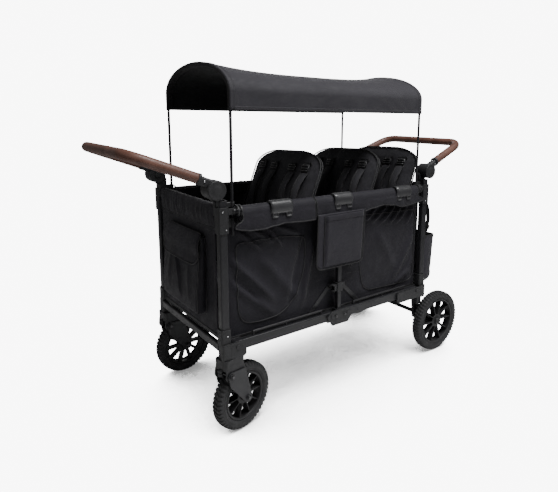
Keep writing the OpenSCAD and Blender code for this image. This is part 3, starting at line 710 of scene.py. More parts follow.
def arch_point(x, v, grow, sag=0.0):
    """A point of the canopy: v runs from the near edge over the top to the far edge.

    grow is outward from the poles.
    """
    edge = 0.09
    if v < edge or v > 1 - edge:
        share = v / edge if v < edge else (1 - v) / edge
        side = -1 if v < edge else 1
        hang = (1 - share) * (ARCH_Z - CANOPY_EDGE_Z)
        return Vector((x, side * (POLE_Y + grow - 0.075 * sag), ARCH_Z - hang))
    a = pi * (1 - (v - edge) / (1 - 2 * edge))
    top = max(sin(a), 0)
    inward = sag * (0.25 + 0.75 * top ** 1.5)
    return Vector((x, (POLE_Y + grow - 0.3 * inward) * cos(a), ARCH_Z + (ARCH_RISE + grow - inward) * top))


def canopy_sag(x):
    """How far the cloth hangs in between the hoops; canopy_point adds its faint ripples."""
    t = min(abs(x) / (HOOP_X - 0.012), 1.0)
    return 0.024 * (1 - t ** 3.2)


def canopy_point(x, v, grow):
    ripple = 0.0012 * cloud(x * 5, v * 9, 3.1) * min(1.0, (HOOP_X - abs(x)) / 0.06)
    return arch_point(x, v, grow + ripple, canopy_sag(x))


def make_canopy():
    long = HOOP_X + 0.006
    layers = {"canopy_top": (CLOTH_OUT, "canopy_fabric"), "canopy_inside": (CLOTH_OUT - 0.0022, "lining")}
    for name, (grow, finish) in layers.items():
        shape = grid(110, 96, lambda u, v, g=grow: canopy_point(long * (2 * u - 1), v, g))
        made = piece(name, shape, finish, "canopy_front", modifiers=[thick(0.0012)], crumple=CANOPY_KEEP,
                     anchor=CANOPY_ANCHOR)
        if name == "canopy_top":
            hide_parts("canopy_cloth")
    # the sleeve that each hoop runs through: round the outside of the pole and tucked in behind it
    wrap = [(0.0015, 0.0072), (0.0058, 0.0052), (0.0068, 0.0010), (0.0066, -0.0030), (0.0035, -0.0062),
            (-0.004, -0.0066), (-0.016, -0.0060)]
    wrap = curve([(a, b, 0) for a, b in wrap], 3)
    for end_name, end in ENDS.items():
        def sleeve(u, v):
            at = wrap[round(v * (len(wrap) - 1))]
            return arch_point(end * (HOOP_X + at.x), u, at.y)

        shape = grid(96, len(wrap) - 1, sleeve)
        piece(f"canopy_sleeve_{end_name}", shape, "lining", f"canopy_{end_name}", modifiers=[thick(0.0009)])
        band = grid(6, 96, lambda u, v: arch_point(end * (HOOP_X + 0.004 - 0.018 * u), v,
                                                   CLOTH_OUT + 0.0013 - 0.0006 * u))
        piece(f"canopy_pole_sleeve_{end_name}", band, "canopy_fabric", f"canopy_{end_name}",
              modifiers=[thick(0.0008)])
        for row, inset in enumerate((0.0105, 0.0130)):
            line = [arch_point(end * (HOOP_X - inset), k / 90, CLOTH_OUT + 0.0014) for k in range(91)]
            piece(f"canopy_seam_{end_name}_{row}", stitches(line, (1, 0, 0)), "black_thread",
                  f"canopy_{end_name}")
    for side_name, side in SIDES.items():
        v = 0.0 if side < 0 else 1.0
        line = [canopy_point(long * (k / 60 - 1), v, CLOTH_OUT - 0.0011) for k in range(121)]
        tape = rounded_box_outline(0.0046, 0.013, 0.0018, 2)
        shape = sweep([p + Vector((0, 0, 0.005)) for p in line], tape, up=(0, 0, 1))
        piece(f"canopy_edge_{side_name}", shape, "canopy_fabric", "canopy_front", crumple=CANOPY_KEEP,
              anchor=CANOPY_ANCHOR)
        row = [p + Vector((0, side * 0.0026, 0.0088)) for p in line]
        piece(f"canopy_edge_seam_{side_name}", stitches(row, (0, 0, 1)), "black_thread", "canopy_front",
              crumple=CANOPY_KEEP, anchor=CANOPY_ANCHOR)


# ---------- tub walls, the band over the upper rail, and the side pockets ----------

CREASES = [
    # start and end along X and Z, width, depth
    ((-0.440, 0.600), (-0.300, 0.455), 0.013, 0.0042), ((-0.440, 0.552), (-0.350, 0.450), 0.009, -0.0030),
    ((-0.430, 0.510), (-0.290, 0.395), 0.014, 0.0036), ((-0.330, 0.590), (-0.185, 0.430), 0.020, 0.0036),
    ((-0.315, 0.712), (-0.262, 0.640), 0.008, 0.0046), ((-0.370, 0.706), (-0.300, 0.660), 0.007, 0.0042),
    ((-0.425, 0.708), (-0.350, 0.640), 0.008, 0.0045), ((-0.270, 0.705), (-0.180, 0.670), 0.009, 0.0030),
    ((-0.160, 0.640), (-0.215, 0.430), 0.014, -0.0032), ((-0.120, 0.620), (-0.160, 0.400), 0.012, 0.0030),
    ((0.212, 0.728), (0.165, 0.682), 0.007, 0.0046), ((0.262, 0.722), (0.200, 0.672), 0.008, 0.0048),
    ((0.312, 0.716), (0.245, 0.662), 0.009, 0.0052), ((0.358, 0.716), (0.300, 0.655), 0.009, 0.0050),
    ((0.412, 0.735), (0.345, 0.655), 0.010, 0.0055), ((0.452, 0.735), (0.405, 0.640), 0.010, 0.0045),
    ((0.440, 0.560), (0.330, 0.400), 0.016, 0.0032), ((0.455, 0.470), (0.385, 0.385), 0.010, 0.0036),
    ((0.420, 0.420), (0.340, 0.372), 0.008, 0.0030), ((0.230, 0.600), (0.330, 0.450), 0.024, 0.0026),
]
CALM_X, CALM_Z = 0.15, 0.47  # nothing bulges out behind the middle post and the braces
WALL_LOW_Z = 0.332
WALL_SWELL, CREASE_DEPTH = 0.0075, 2.8


def wall_out(x, z):
    """How far the side wall stands out from its flat place, at x and height z."""
    bay = sin(pi * min(abs(x), WALL_END_X) / WALL_END_X) ** 0.7
    rise = sin(pi * min(max((z - WALL_LOW_Z) / (TUB_TOP_Z - WALL_LOW_Z), 0), 1)) ** 0.8
    out = WALL_SWELL * bay * rise
    out += CREASE_DEPTH * sum(fold_line(x, z, *c) for c in CREASES)
    out += 0.0022 * cloud(x * 11, z * 11, 1.7) + 0.0009 * cloud(x * 34, z * 34, 5.2)
    calm = smooth_step((abs(x) - 0.03) / (CALM_X
                                          - 0.03)) if z < CALM_Z else smooth_step((abs(x) - 0.02) / 0.06)
    fixed = smooth_step((WALL_END_X - abs(x)) / 0.03)
    return max(out, -0.001) * calm * fixed


def wall_point(x, z, proud=0.0):
    return Vector((x, WALL_Y + wall_out(x, z) + proud, z))


FRONT_WINDOW = [(-0.436, 0.668), (-0.290, 0.672), (-0.146, 0.655), (-0.158, 0.500), (-0.225, 0.388),
                (-0.330, 0.370), (-0.430, 0.385)]
FRONT_WINDOW_BENDS = [0.02, 0.05, 0.03, 0.16, 0.09, 0.05, 0.075]
REAR_WINDOW = [(0.118, 0.700), (0.122, 0.500), (0.150, 0.376), (0.300, 0.368), (0.457, 0.366),
               (0.460, 0.690)]
REAR_WINDOW_BENDS = [0.03, 0.06, 0.055, 0.05, 0.04, 0.03]


def make_walls():
    for side_name, side in SIDES.items():
        def place(u, v):
            x = WALL_END_X * (2 * u - 1)
            return wall_point(x, WALL_LOW_Z + v * (TUB_TOP_Z - 0.008 - WALL_LOW_Z))

        wall = on_side(grid(250, 116, place), side)
        made = piece(f"tub_wall_{side_name}", wall, "tub_fabric", "front_end", modifiers=[thick(0.0016)],
                     crumple=TUB_KEEP)
        if side < 0:
            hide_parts("tub_sides")
        windows = (("front", FRONT_WINDOW, FRONT_WINDOW_BENDS), ("rear", REAR_WINDOW, REAR_WINDOW_BENDS))
        for name, corners, bends in windows:
            line = evenly(bend_corners([(x, 0, z) for x, z in corners], bends, 8), 0.006, closed=True)
            cord = tube([wall_point(p.x, p.z, 0.0018) for p in line], 0.0021, 7, closed=True, up=(0, 1, 0))
            tub_piece(f"window_piping_{name}_{side_name}", cord, side, "binding")
            middle = sum(line, Vector()) / len(line)
            inset = [p + (middle - p).normalized() * 0.0065 for p in line]
            row = stitches([wall_point(p.x, p.z, 0.0011) for p in inset + inset[:1]], (0, 1, 0), 0.003,
                           0.003)
            tub_piece(f"window_stitching_{name}_{side_name}", row, side, "black_thread")
        hem = [wall_point(WALL_END_X * (k / 60 - 1) * 0.99, WALL_LOW_Z + 0.006, 0.0016) for k in range(121)]
        tape = rounded_box_outline(0.0026, 0.013, 0.001, 2)
        tub_piece(f"tub_hem_{side_name}", sweep(hem, tape, up=(0, 0, 1)), side, "binding")


BAND_END_X = 0.428
BAND_SPLIT_X = -0.129
BAND_EDGE = {
    # points along the lower edge of each half of the band
    "front": [(-0.456, 0.7285), (-0.428, 0.7215), (-0.400, 0.7165), (-0.350, 0.716), (-0.303, 0.7215),
              (-0.262, 0.7265), (-0.235, 0.7235), (-0.190, 0.7215), (-0.134, 0.7215)],
    "rear": [(-0.124, 0.728), (-0.090, 0.7285), (0.000, 0.7275), (0.100, 0.7250), (0.160, 0.7330),
             (0.215, 0.7400),
             (0.270, 0.7335), (0.330, 0.7200), (0.380, 0.7230), (0.428, 0.7300), (0.456, 0.7340)],
}
BAND_ARC_Y, BAND_ARC_Z = 0.2615, 0.772
BAND_HALF, BAND_RISE = 0.0220, 0.0285


def edge_height(points, x):
    """Height on a smooth line through the points."""
    for (x0, z0), (x1, z1) in zip(points, points[1:]):
        if x <= x1:
            t = smooth_step((x - x0) / (x1 - x0))
            return z0 + (z1 - z0) * t
    return points[-1][1]


def band_point(x, v, points, proud=0.0):
    """The band over the upper rail: v goes from its inner edge over the top to the lower outer edge."""
    low_z = edge_height(points, x)
    half, rise = BAND_HALF + proud, BAND_RISE + proud
    if v < 0.1:
        return Vector((x, BAND_ARC_Y - half, BAND_ARC_Z - 0.02 * (1 - v / 0.1)))
    if v < 0.5:
        a = pi * (1 - (v - 0.1) / 0.4)
        top = sin(a)
        pinch = 0.0012 * cloud(x * 20, v * 5, 7.7)
        return Vector((x, BAND_ARC_Y + half * cos(a), BAND_ARC_Z + (rise + pinch - 0.0012) * top))
    t = (v - 0.5) / 0.5
    z = BAND_ARC_Z + (low_z - BAND_ARC_Z) * t
    wave = 0.0048 * cloud(x * 16, z * 7, 2.2) + 0.0016 * cloud(x * 45, z * 22, 9.2)
    swell = 0.0030 * sin(pi * t) * (0.6 + 0.8 * cloud(x * 7, 0.5, 0.5))
    out = BAND_ARC_Y + half + (wave * smooth_step(t * 3) + swell + 0.001 * t)
    return Vector((x, min(out, 0.2865 + proud), z))


def band_x(name, u, v):
    """Where a half of the band is along X: its skirt reaches further towards the post than its roll does."""
    reach = BAND_END_X + 0.028 * smooth_step((v - 0.62) / 0.3)
    x0, x1 = (-reach, BAND_SPLIT_X - 0.0035) if name == "front" else (BAND_SPLIT_X + 0.0035, reach)
    return x0 + (x1 - x0) * u


def make_band():
    for side_name, side in SIDES.items():
        for name in ENDS:
            points = BAND_EDGE[name]
            steps = 84 if name == "front" else 128
            low_u = 0.0 if name == "front" else 0.40

            def at(u, v, proud=0.0):
                return band_point(band_x(name, u, v), v, points, proud)

            made = tub_piece(f"tub_band_{name}_{side_name}", grid(steps, 52, at), side, "tub_fabric",
                             modifiers=[thick(0.0018)])
            edges = [[at(0, 0.2 + 0.8 * k / 40, 0.0004) for k in range(41)],
                     [at(low_u + (1 - low_u) * k / 90, 1, 0.0004) for k in range(91)],
                     [at(1, 1 - 0.8 * k / 40, 0.0004) for k in range(41)]]
            if name == "front":
                edges = [edges[0] + edges[1][1:] + edges[2][1:]]
            else:
                edges = [edges[0], edges[1] + edges[2][1:]]
            for k, edge in enumerate(edges):
                cord = tube(evenly(edge, 0.0035), 0.0022, 8, up=(0, 1, 0.3))
                tub_piece(f"band_piping_{name}_{side_name}_{k}", cord, side, "binding")
            row = [at(low_u + (1 - low_u) * k / 90, 0.90, 0.0011) for k in range(2, 89)]
            tub_piece(f"band_stitching_{name}_{side_name}", stitches(row, (0, 1, 0)), side, "black_thread")


FLAP_X = (-0.1235, 0.109)
FLAP_TOP_Z, FLAP_LOW_Z = 0.736, 0.524
FLAP_Y = 0.2875
POCKET_X = (-0.092, 0.100)
POCKET_TOP_Z = 0.7285


def flap_out(x, z):
    """The flap hangs from the band, a little bowed, with its lower edge standing off."""
    t = (FLAP_TOP_Z - z) / (FLAP_TOP_Z - FLAP_LOW_Z)
    return 0.0012 * cloud(x * 14, z * 14, 8.8) - 0.006 * smooth_step(t)


def panel_from(corners, bends, step, place):
    """A sheet with a rounded outline: rings drawn in from the outline towards its middle."""
    line = evenly(bend_corners([(a, 0, b) for a, b in corners], bends, 8), step, closed=True)
    middle = sum(line, Vector()) / len(line)
    rings = max(6, round(min((p - middle).length for p in line) / step))
    points, faces, m = [], [], len(line)
    for r in range(rings):
        points += [place(q.x, q.z) for q in (p.lerp(middle, r / rings) for p in line)]
    points.append(place(middle.x, middle.z))
    for r in range(rings - 1):
        faces += [[r * m + k, r * m + (k + 1) % m, (r + 1) * m + (k + 1) % m, (r + 1) * m + k]
                  for k in range(m)]
    faces += [[(rings - 1) * m + k, (rings - 1) * m + (k + 1) % m, rings * m] for k in range(m)]
    return Shape((points, faces)), line


def make_side_pockets():
    corners = [(FLAP_X[0], FLAP_TOP_Z), (FLAP_X[0], FLAP_LOW_Z), (FLAP_X[1], FLAP_LOW_Z),
               (FLAP_X[1], FLAP_TOP_Z)]
    bends = [0.006, 0.030, 0.030, 0.006]
    for side_name, side in SIDES.items():
        place = lambda x, z: Vector((x, FLAP_Y + flap_out(x, z), z))
        shape, _ = panel_from(corners, bends, 0.006, place)
        made = tub_piece(f"side_flap_{side_name}", shape, side, "panel_fabric", modifiers=[thick(0.0018)])
        if side < 0:
            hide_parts("side_flaps")
        edge = bend_corners([(x, 0, z) for x, z in corners], bends, 8, closed=False)
        cord = tube([place(p.x, p.z) + Vector((0, 0.0008, 0)) for p in evenly(edge, 0.004)], 0.0026, 8,
                    up=(0, 1, 0))
        tub_piece(f"flap_piping_{side_name}", cord, side, "binding")

        def front(u, v):
            """The pocket's front: gathered at both sides, open along the top."""
            x = POCKET_X[0] + (POCKET_X[1] - POCKET_X[0]) * u
            z = POCKET_TOP_Z + (FLAP_LOW_Z + 0.010 - POCKET_TOP_Z) * v
            deep = min(u, 1 - u) / 0.06
            bulge = 0.0080 * smooth_step(deep) * (1 - 0.55 * smooth_step((v - 0.7) / 0.3))
            return Vector((x, FLAP_Y + 0.0018 + flap_out(x, z) + bulge
                           + 0.0010 * cloud(x * 20, z * 20, 4.4), z))

        made = tub_piece(f"side_pocket_{side_name}", grid(56, 56, front), side, "panel_fabric",
                         modifiers=[thick(0.0016)])
        hem = [front(k / 50, 0.012) + Vector((0, 0.0004, -0.006)) for k in range(51)]
        tape = rounded_box_outline(0.0034, 0.020, 0.0012, 2)
        tub_piece(f"pocket_hem_{side_name}", sweep(hem, tape, up=(0, 0, 1)), side, "panel_fabric")
        for k, u in enumerate((0.0, 1.0)):
            edge = [front(u, v / 40) + Vector((0, 0.001, 0)) for v in range(41)]
            tub_piece(f"pocket_piping_{side_name}_{k}", tube(edge, 0.0020, 7, up=(0, 1, 0)), side,
                      "binding")
        row = [front(k / 50, 0.10) + Vector((0, 0.0013, 0)) for k in range(1, 50)]
        tub_piece(f"pocket_stitching_{side_name}", stitches(row, (0, 1, 0)), side, "black_thread")


# ---------- end panels, the covered pocket, the basket and its strap ----------

PANEL_HALF_Y = 0.225
PANEL_LOW_Z, PANEL_TOP_Z = 0.347, 0.772
BAR_X, BAR_Z, ROLL = 0.491, 0.793, 0.0120
PANEL_FACE_X = 0.4985


def bar_cover_point(u, v, lift=0.0):
    """The gathered cloth over an end's crossbar: u runs along Y and v over the bar and down outside."""
    y = PANEL_HALF_Y * (2 * u - 1)
    gather = cloud(y * 38, v * 3.0, 1.3) + 0.6 * cloud(y * 80, v * 2.0, 6.6)
    tight = smooth_step((PANEL_HALF_Y - abs(y)) / 0.04)
    r = ROLL + lift + 0.0011 * gather * tight
    if v < 0.12:
        return Vector((BAR_X - r, y, BAR_Z - 0.03 * (1 - v / 0.12)))
    if v < 0.45:
        a = pi * (1 - (v - 0.12) / 0.33)
        return Vector((BAR_X + r * cos(a), y, BAR_Z + r * sin(a)))
    t = (v - 0.45) / 0.55
    swell = 0.0045 * sin(pi * t) * tight + 0.0022 * gather * tight * sin(pi * min(t * 1.2, 1))
    low_z = 0.7265 - 0.006 * cos(pi * y / (2 * PANEL_HALF_Y))
    low_z += 0.002 * cloud(y * 12, 1, 1)
    x = BAR_X + r + (PANEL_FACE_X + 0.0015 - BAR_X - ROLL) * smooth_step(t) + swell
    return Vector((x, y, BAR_Z + (low_z - BAR_Z) * t))


def panel_point(u, v):
    """The flat part of an end panel, a little slack between its posts."""
    y = PANEL_HALF_Y * (2 * u - 1)
    z = PANEL_LOW_Z + (PANEL_TOP_Z - PANEL_LOW_Z) * v
    slack = sin(pi * u) * sin(pi * v)
    out = 0.0014 * slack + 0.0016 * cloud(y * 10, z * 9, 4.0) * slack
    return Vector((PANEL_FACE_X - 0.001 + out, y, z))


def make_end_panels():
    for name, end in ENDS.items():
        body = f"{name}_end"
        panel = piece(f"end_panel_{name}", on_end(grid(70, 70, panel_point), end), "tub_fabric", body,
                      modifiers=[thick(0.0018)])
        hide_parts(f"{name}_panel")
        cover = piece(f"bar_cover_{name}", on_end(grid(150, 40, bar_cover_point), end), "tub_fabric", body,
                      modifiers=[thick(0.0016)])
        edge = [bar_cover_point(k / 100, 0.995, 0.0006) for k in range(101)]
        piece(f"bar_cover_piping_{name}", on_end(tube(edge, 0.0017, 7, up=(1, 0, 0)), end), "binding", body)
        for row, v in enumerate((0.90, 0.52)):
            line = [bar_cover_point(k / 100, v, 0.0010) for k in range(1, 100)]
            piece(f"bar_cover_stitching_{name}_{row}", on_end(stitches(line, (1, 0, 0)), end),
                  "black_thread", body)
        hem = [panel_point(k / 60, 0.014) + Vector((0.0012, 0, 0)) for k in range(61)]
        tape = sweep(hem, rounded_box_outline(0.0026, 0.014, 0.001, 2), up=(0, 0, 1))
        piece(f"end_panel_hem_{name}", on_end(tape, end), "binding", body)


def ring_of(out_x, back_x, half_y, corner, count=88):
    """A pocket's outline at one height: from the panel, round the front and back to the panel."""
    line = bend_corners([(back_x, -half_y, 0), (out_x, -half_y, 0), (out_x, half_y, 0),
                         (back_x, half_y, 0)],
                        corner, 8, closed=False)
    length = sum((b - a).length for a, b in zip(line, line[1:]))
    found = evenly(line, length / count)
    return found


POCKET_HALF_Y = 0.150
POCKET_FOLDS = [
    ((0.034, 0.600), (-0.002, 0.535), 0.008, 0.0085), ((-0.002, 0.535), (-0.022, 0.455), 0.007, 0.0075),
    ((0.075, 0.590), (0.090, 0.470), 0.016, 0.0050), ((-0.075, 0.560), (-0.095, 0.450), 0.014, 0.0045),
]


def pocket_shell(profile, back_x, half_y, corner, bulge, folds, rounding):
    """A lofted pocket. The profile's (x, z) points run from its top down and round underneath."""
    line = evenly([Vector((x, 0, z)) for x, z in profile], 0.005)
    rings = []
    top, bottom = max(p.z for p in line), min(p.z for p in line)
    for p in line:
        ring = ring_of(max(p.x, back_x + 0.0006), back_x, half_y, min(corner, (p.x - back_x) * 0.45 + 1e-4))
        for q in ring:
            tall = sin(pi * min(max((p.z - bottom) / (top - bottom), 0.0), 1.0)) ** 0.6
            wide = max(cos(pi * q.y / (2 * half_y)), 0.0) ** 0.5
            front = smooth_step((q.x - back_x) / max(p.x - back_x, 1e-4) * 2 - 1)
            soft = 0.0016 * cloud(q.y * 12, p.z * 12, 3.0) + sum(fold_line(q.y, p.z, *f) for f in folds)
            out = (bulge * wide + soft) * tall * front
            across = min(max((q.x - back_x) / max(p.x - back_x, 1e-4), 0.0), 1.0)
            side = (0.0022 * cloud(q.x * 30, p.z * 16, 9.0) - 0.0075 * sin(pi * across)) * tall
            low = max(0.0, 1 - (p.z - bottom) / rounding)
            shrink = 1 - rounding * (1 - sqrt(1 - low ** 2)) / half_y
            q.x += out
            q.y = (q.y + copysign(side * (1 - front), q.y)) * shrink
            q.z = p.z
        rings.append(ring)
    m = min(len(r) for r in rings)
    points = [p for r in rings for p in r[:m]]
    faces = [[i * m + k, i * m + k + 1, (i + 1) * m + k + 1, (i + 1) * m + k]
             for i in range(len(rings) - 1) for k in range(m - 1)]
    return Shape((points, faces)), rings


def make_front_pocket():
    profile = curve([(0.5010, 0, 0.684), (0.5120, 0, 0.680), (0.5160, 0, 0.665), (0.5265, 0, 0.560),
                     (0.5370, 0, 0.440), (0.5300, 0, 0.414), (0.5010, 0, 0.405)], 8)
    shell, rings = pocket_shell([(p.x, p.z) for p in profile], 0.4995, POCKET_HALF_Y, 0.007, 0.0050,
                                POCKET_FOLDS, 0.030)
    made = piece("front_cargo_pocket", on_end(shell, -1), "tub_fabric", "front_end",
                 modifiers=[thick(0.0016)])
    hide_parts("front_pocket")
    for side_name, side in SIDES.items():
        corner = [min(ring, key=lambda q: (q - Vector((0.56, side * 0.180, q.z))).length) for ring in rings]
        foot = [ring[0 if side < 0 else -1] + Vector((0.0015, side * 0.0005, 0)) for ring in rings]
        for k, edge in enumerate((corner, foot)):
            cord = tube(evenly(edge[2:-1], 0.004), 0.0022, 7, up=(1, 0, 0))
            piece(f"cargo_pocket_piping_{side_name}_{k}", on_end(cord, -1), "binding", "front_end")

    def flap_place(y, z):
        over = min(max((z - 0.640) / 0.052, 0.0), 1.0)
        lift = 0.0022 * cloud(y * 12, z * 12, 2.0) + 0.0055 * cos(pi * y / 0.32)
        standing = 0.0055 * smooth_step((0.625 - z) / 0.040)
        return Vector((0.5262 + lift + standing - 0.022 * over ** 2, y, z))

    corners = [(-0.143, 0.692), (-0.161, 0.585), (0.161, 0.585), (0.143, 0.692)]
    shape, line = panel_from(corners, [0.016, 0.062, 0.062, 0.016], 0.0055, flap_place)
    flap = piece("cargo_pocket_flap", on_end(Shape(shape), -1), "tub_fabric", "front_end",
                 modifiers=[thick(0.0022)])
    edge = [flap_place(p.x, p.z) + Vector((0.0006, 0, 0)) for p in evenly(line, 0.004, True)]
    piece("cargo_pocket_flap_piping", on_end(tube(edge, 0.0023, 8, closed=True, up=(1, 0, 0)), -1),
          "binding", "front_end")
    middle = Vector((0, 0, 0.638))
    inset = [flap_place(p.x + (middle - p).normalized().x * 0.008,
                        p.z + (middle - p).normalized().z * 0.008)
             + Vector((0.0014, 0, 0)) for p in line]
    piece("cargo_pocket_flap_stitching", on_end(stitches(inset + inset[:1], (1, 0, 0)), -1), "black_thread",
          "front_end")


def make_rear_basket():
    profile = curve([(0.6000, 0, 0.5570), (0.5965, 0, 0.500), (0.5910, 0, 0.420), (0.5880, 0, 0.392),
                     (0.5910, 0, 0.372),
                     (0.5840, 0, 0.346), (0.5650, 0, 0.331), (0.5350, 0, 0.327), (0.5115, 0, 0.330)], 8)
    folds = [((-0.06, 0.53), (-0.10, 0.40), 0.012, 0.0035), ((0.05, 0.54), (0.02, 0.42), 0.010, -0.0035),
             ((0.16, 0.54), (0.19, 0.42), 0.012, 0.0040), ((-0.17, 0.54), (-0.19, 0.44), 0.012, 0.0035)]
    shell, rings = pocket_shell([(p.x, p.z) for p in profile], 0.5105, 0.248, 0.022, 0.003, folds, 0.040)
    made = piece("rear_storage_basket", shell, "panel_fabric", "rear_end", modifiers=[thick(0.0018)])
    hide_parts("rear_basket")
    rim = [p + Vector((0, 0, -0.006)) for p in rings[0]]
    tape = sweep(evenly(rim, 0.004), rounded_box_outline(0.0046, 0.016, 0.002, 2), up=(0, 0, 1))
    piece("basket_rim_tape", tape, "binding", "rear_end")
    row = [p + (Vector((p.x - 0.5, p.y, 0)).normalized() * 0.003) + Vector((0, 0, -0.010))
           for p in rings[0]]
    piece("basket_rim_stitching", stitches(row, (0, 0, 1)), "black_thread", "rear_end")
    for side_name, side in SIDES.items():
        line = curve([(0.506, side * 0.2605, 0.716), (0.519, side * 0.2630, 0.688),
                      (0.527, side * 0.2620, 0.640),
                      (0.523, side * 0.2580, 0.592), (0.516, side * 0.2510, 0.566),
                      (0.5125, side * 0.247, 0.552)], 10)
        strap = sweep(line, rounded_box_outline(0.0018, 0.020, 0.0008, 2), up=(0, side, 0.3))
        piece(f"basket_strap_{side_name}", strap, "webbing", "rear_end")
        k = 28  # where the buckle sits among the strap's points
        at = line[k]
        along = (line[k + 1] - line[k - 1]).normalized()
        side_way = Vector((0, side, 0.3)).normalized()
        out = along.cross(side_way).normalized()
        corners = ((-0.008, -0.013), (0.008, -0.013), (0.008, 0.013), (-0.008, 0.013))
        loop = bend_corners([at + along * a + side_way * b for a, b in corners], 0.003, 4)
        buckle = Shape(tube(loop, 0.0022, 8, closed=True, up=tuple(out)))
        buckle.add(tube([at - side_way * 0.012, at + side_way * 0.012], 0.0017, 8))
        piece(f"basket_strap_buckle_{side_name}", buckle, "moulded_plastic", "rear_end")


# ---------- seats ----------

SEAT_LEAN = radians(22)
SEAT_HANG = radians(-2)  # each back hangs a little higher at the near side
SEAT_TOP_Z = high("seat_back_front", "Z")
SEAT_HALF_Y = high("seat_back_front", "Y")
SEATS = {"front": -0.050, "middle": 0.250, "rear": 0.486}
SEAT_TALL = 0.5058
SEAT_THICK = 0.024
SMOOTHED = ("SUBSURF", {"levels": 1, "render_levels": 1})
BASE_DEPTHS = {"front": 0.200, "middle": 0.170, "rear": 0.160}
BASE_TOP_Z = 0.4720
BASE_MIDDLES = {"front": -0.3035, "middle": 0.0135, "rear": 0.2405}


def slab(outline, depth):
    """A closed slab with rounded rims: the outline lies in YZ, and depth is along X."""
    loops, m = [], len(outline)
    middle = sum((Vector((0, y, z)) for y, z in outline), Vector()) / m
    for shrink, x in ((0.007, 0.0), (0.0015, 0.16), (0.0, 0.5), (0.0015, 0.84), (0.007, 1.0)):
        loops.append([Vector((depth * x, y, z)) + (middle - Vector((0, y, z))).normalized() * shrink
                      for y, z in outline])
    points = [p for loop in loops for p in loop]
    faces = [[i * m + k, i * m + (k + 1) % m, (i + 1) * m + (k + 1) % m, (i + 1) * m + k]
             for i in range(len(loops) - 1) for k in range(m)]
    faces += [list(reversed(range(m))), [(len(loops) - 1) * m + k for k in range(m)]]
    return Shape((points, faces))


def puffed(name, shape, voxel=0.006, pressure=4.0, cap=0.006):
    """The closed shape after a little air pressure in Blender's Cloth, held at its seam round the rim.

    No point moves further than the cap.
    """
    scene = bpy.context.scene
    body = bpy.data.objects.new(name, mesh_of(name, shape))
    scene.collection.objects.link(body)
    remesh = body.modifiers.new("remesh", "REMESH")
    remesh.mode, remesh.voxel_size, remesh.use_smooth_shade = "VOXEL", voxel, True
    bpy.context.view_layer.update()
    found = bpy.data.meshes.new_from_object(body.evaluated_get(bpy.context.evaluated_depsgraph_get()))
    body.modifiers.clear()
    body.data = found
    rest = [v.co.copy() for v in found.vertices]
    seam = body.vertex_groups.new(name="seam")
    seam.add([v.index for v in found.vertices if abs(v.normal.x) < 0.8], 1.0, "REPLACE")
    cloth = body.modifiers.new("cloth", "CLOTH")
    cloth.settings.vertex_group_mass = "seam"
    cloth.settings.use_pressure = True
    cloth.settings.uniform_pressure_force = pressure
    cloth.settings.effector_weights.gravity = 0
    cloth.point_cache.frame_start, cloth.point_cache.frame_end = 1, 20
    for frame_number in range(1, 21):
        scene.frame_set(frame_number)
    swollen = bpy.data.meshes.new_from_object(body.evaluated_get(bpy.context.evaluated_depsgraph_get()))
    body.modifiers.clear()
    for v, p in zip(swollen.vertices, rest):
        moved = v.co - p
        v.co = p + moved * min(1.0, cap / max(moved.length, 1e-9))
    found = swollen
    scene.frame_set(1)
    bpy.data.objects.remove(body)
    found.polygons.foreach_set("use_smooth", [True] * len(found.polygons))
    return found


def box_outline(half, top, bottom, radius, step=0.008):
    corners = [(-half, 0, bottom), (half, 0, bottom), (half, 0, top), (-half, 0, top)]
    return [(p.x, p.z) for p in evenly(bend_corners(corners, [radius] * 4, 10), step, closed=True)]


def back_outline(grow=0.0, step=0.008):
    """A seat back's outline: straight sides, wide low shoulders and a slightly domed top."""
    half = SEAT_HALF_Y - 0.003 + grow
    wide, tall = 0.158 + grow, 0.070 + grow
    line = [Vector((-half, 0, -SEAT_TALL + 0.004 - grow)), Vector((half, 0, -SEAT_TALL + 0.004 - grow))]
    for k in range(49):
        a = pi * k / 48
        flat = copysign(half - wide, cos(a))
        line.append(Vector((flat + wide * cos(a), 0, -0.003 - tall + (tall + grow) * sin(a))))
    return [(p.x, p.z) for p in evenly(line, step, closed=True)]


def seat_groove(y, z):
    """Depth of a seat back's soft places: a seam above the seat, hollows under the straps, ripples."""
    depth = 0.0026 * exp(-(((z + 0.430) / 0.0045) ** 2))
    for at in STRAPS_Y:
        depth += 0.0016 * exp(-(((y - at) / 0.022) ** 2)) * smooth_step((-0.05 - z) / 0.03)
    return depth + 0.0016 * cloud(y * 22, z * 13, 4.4) + 0.0007 * cloud(y * 60, z * 40, 1)


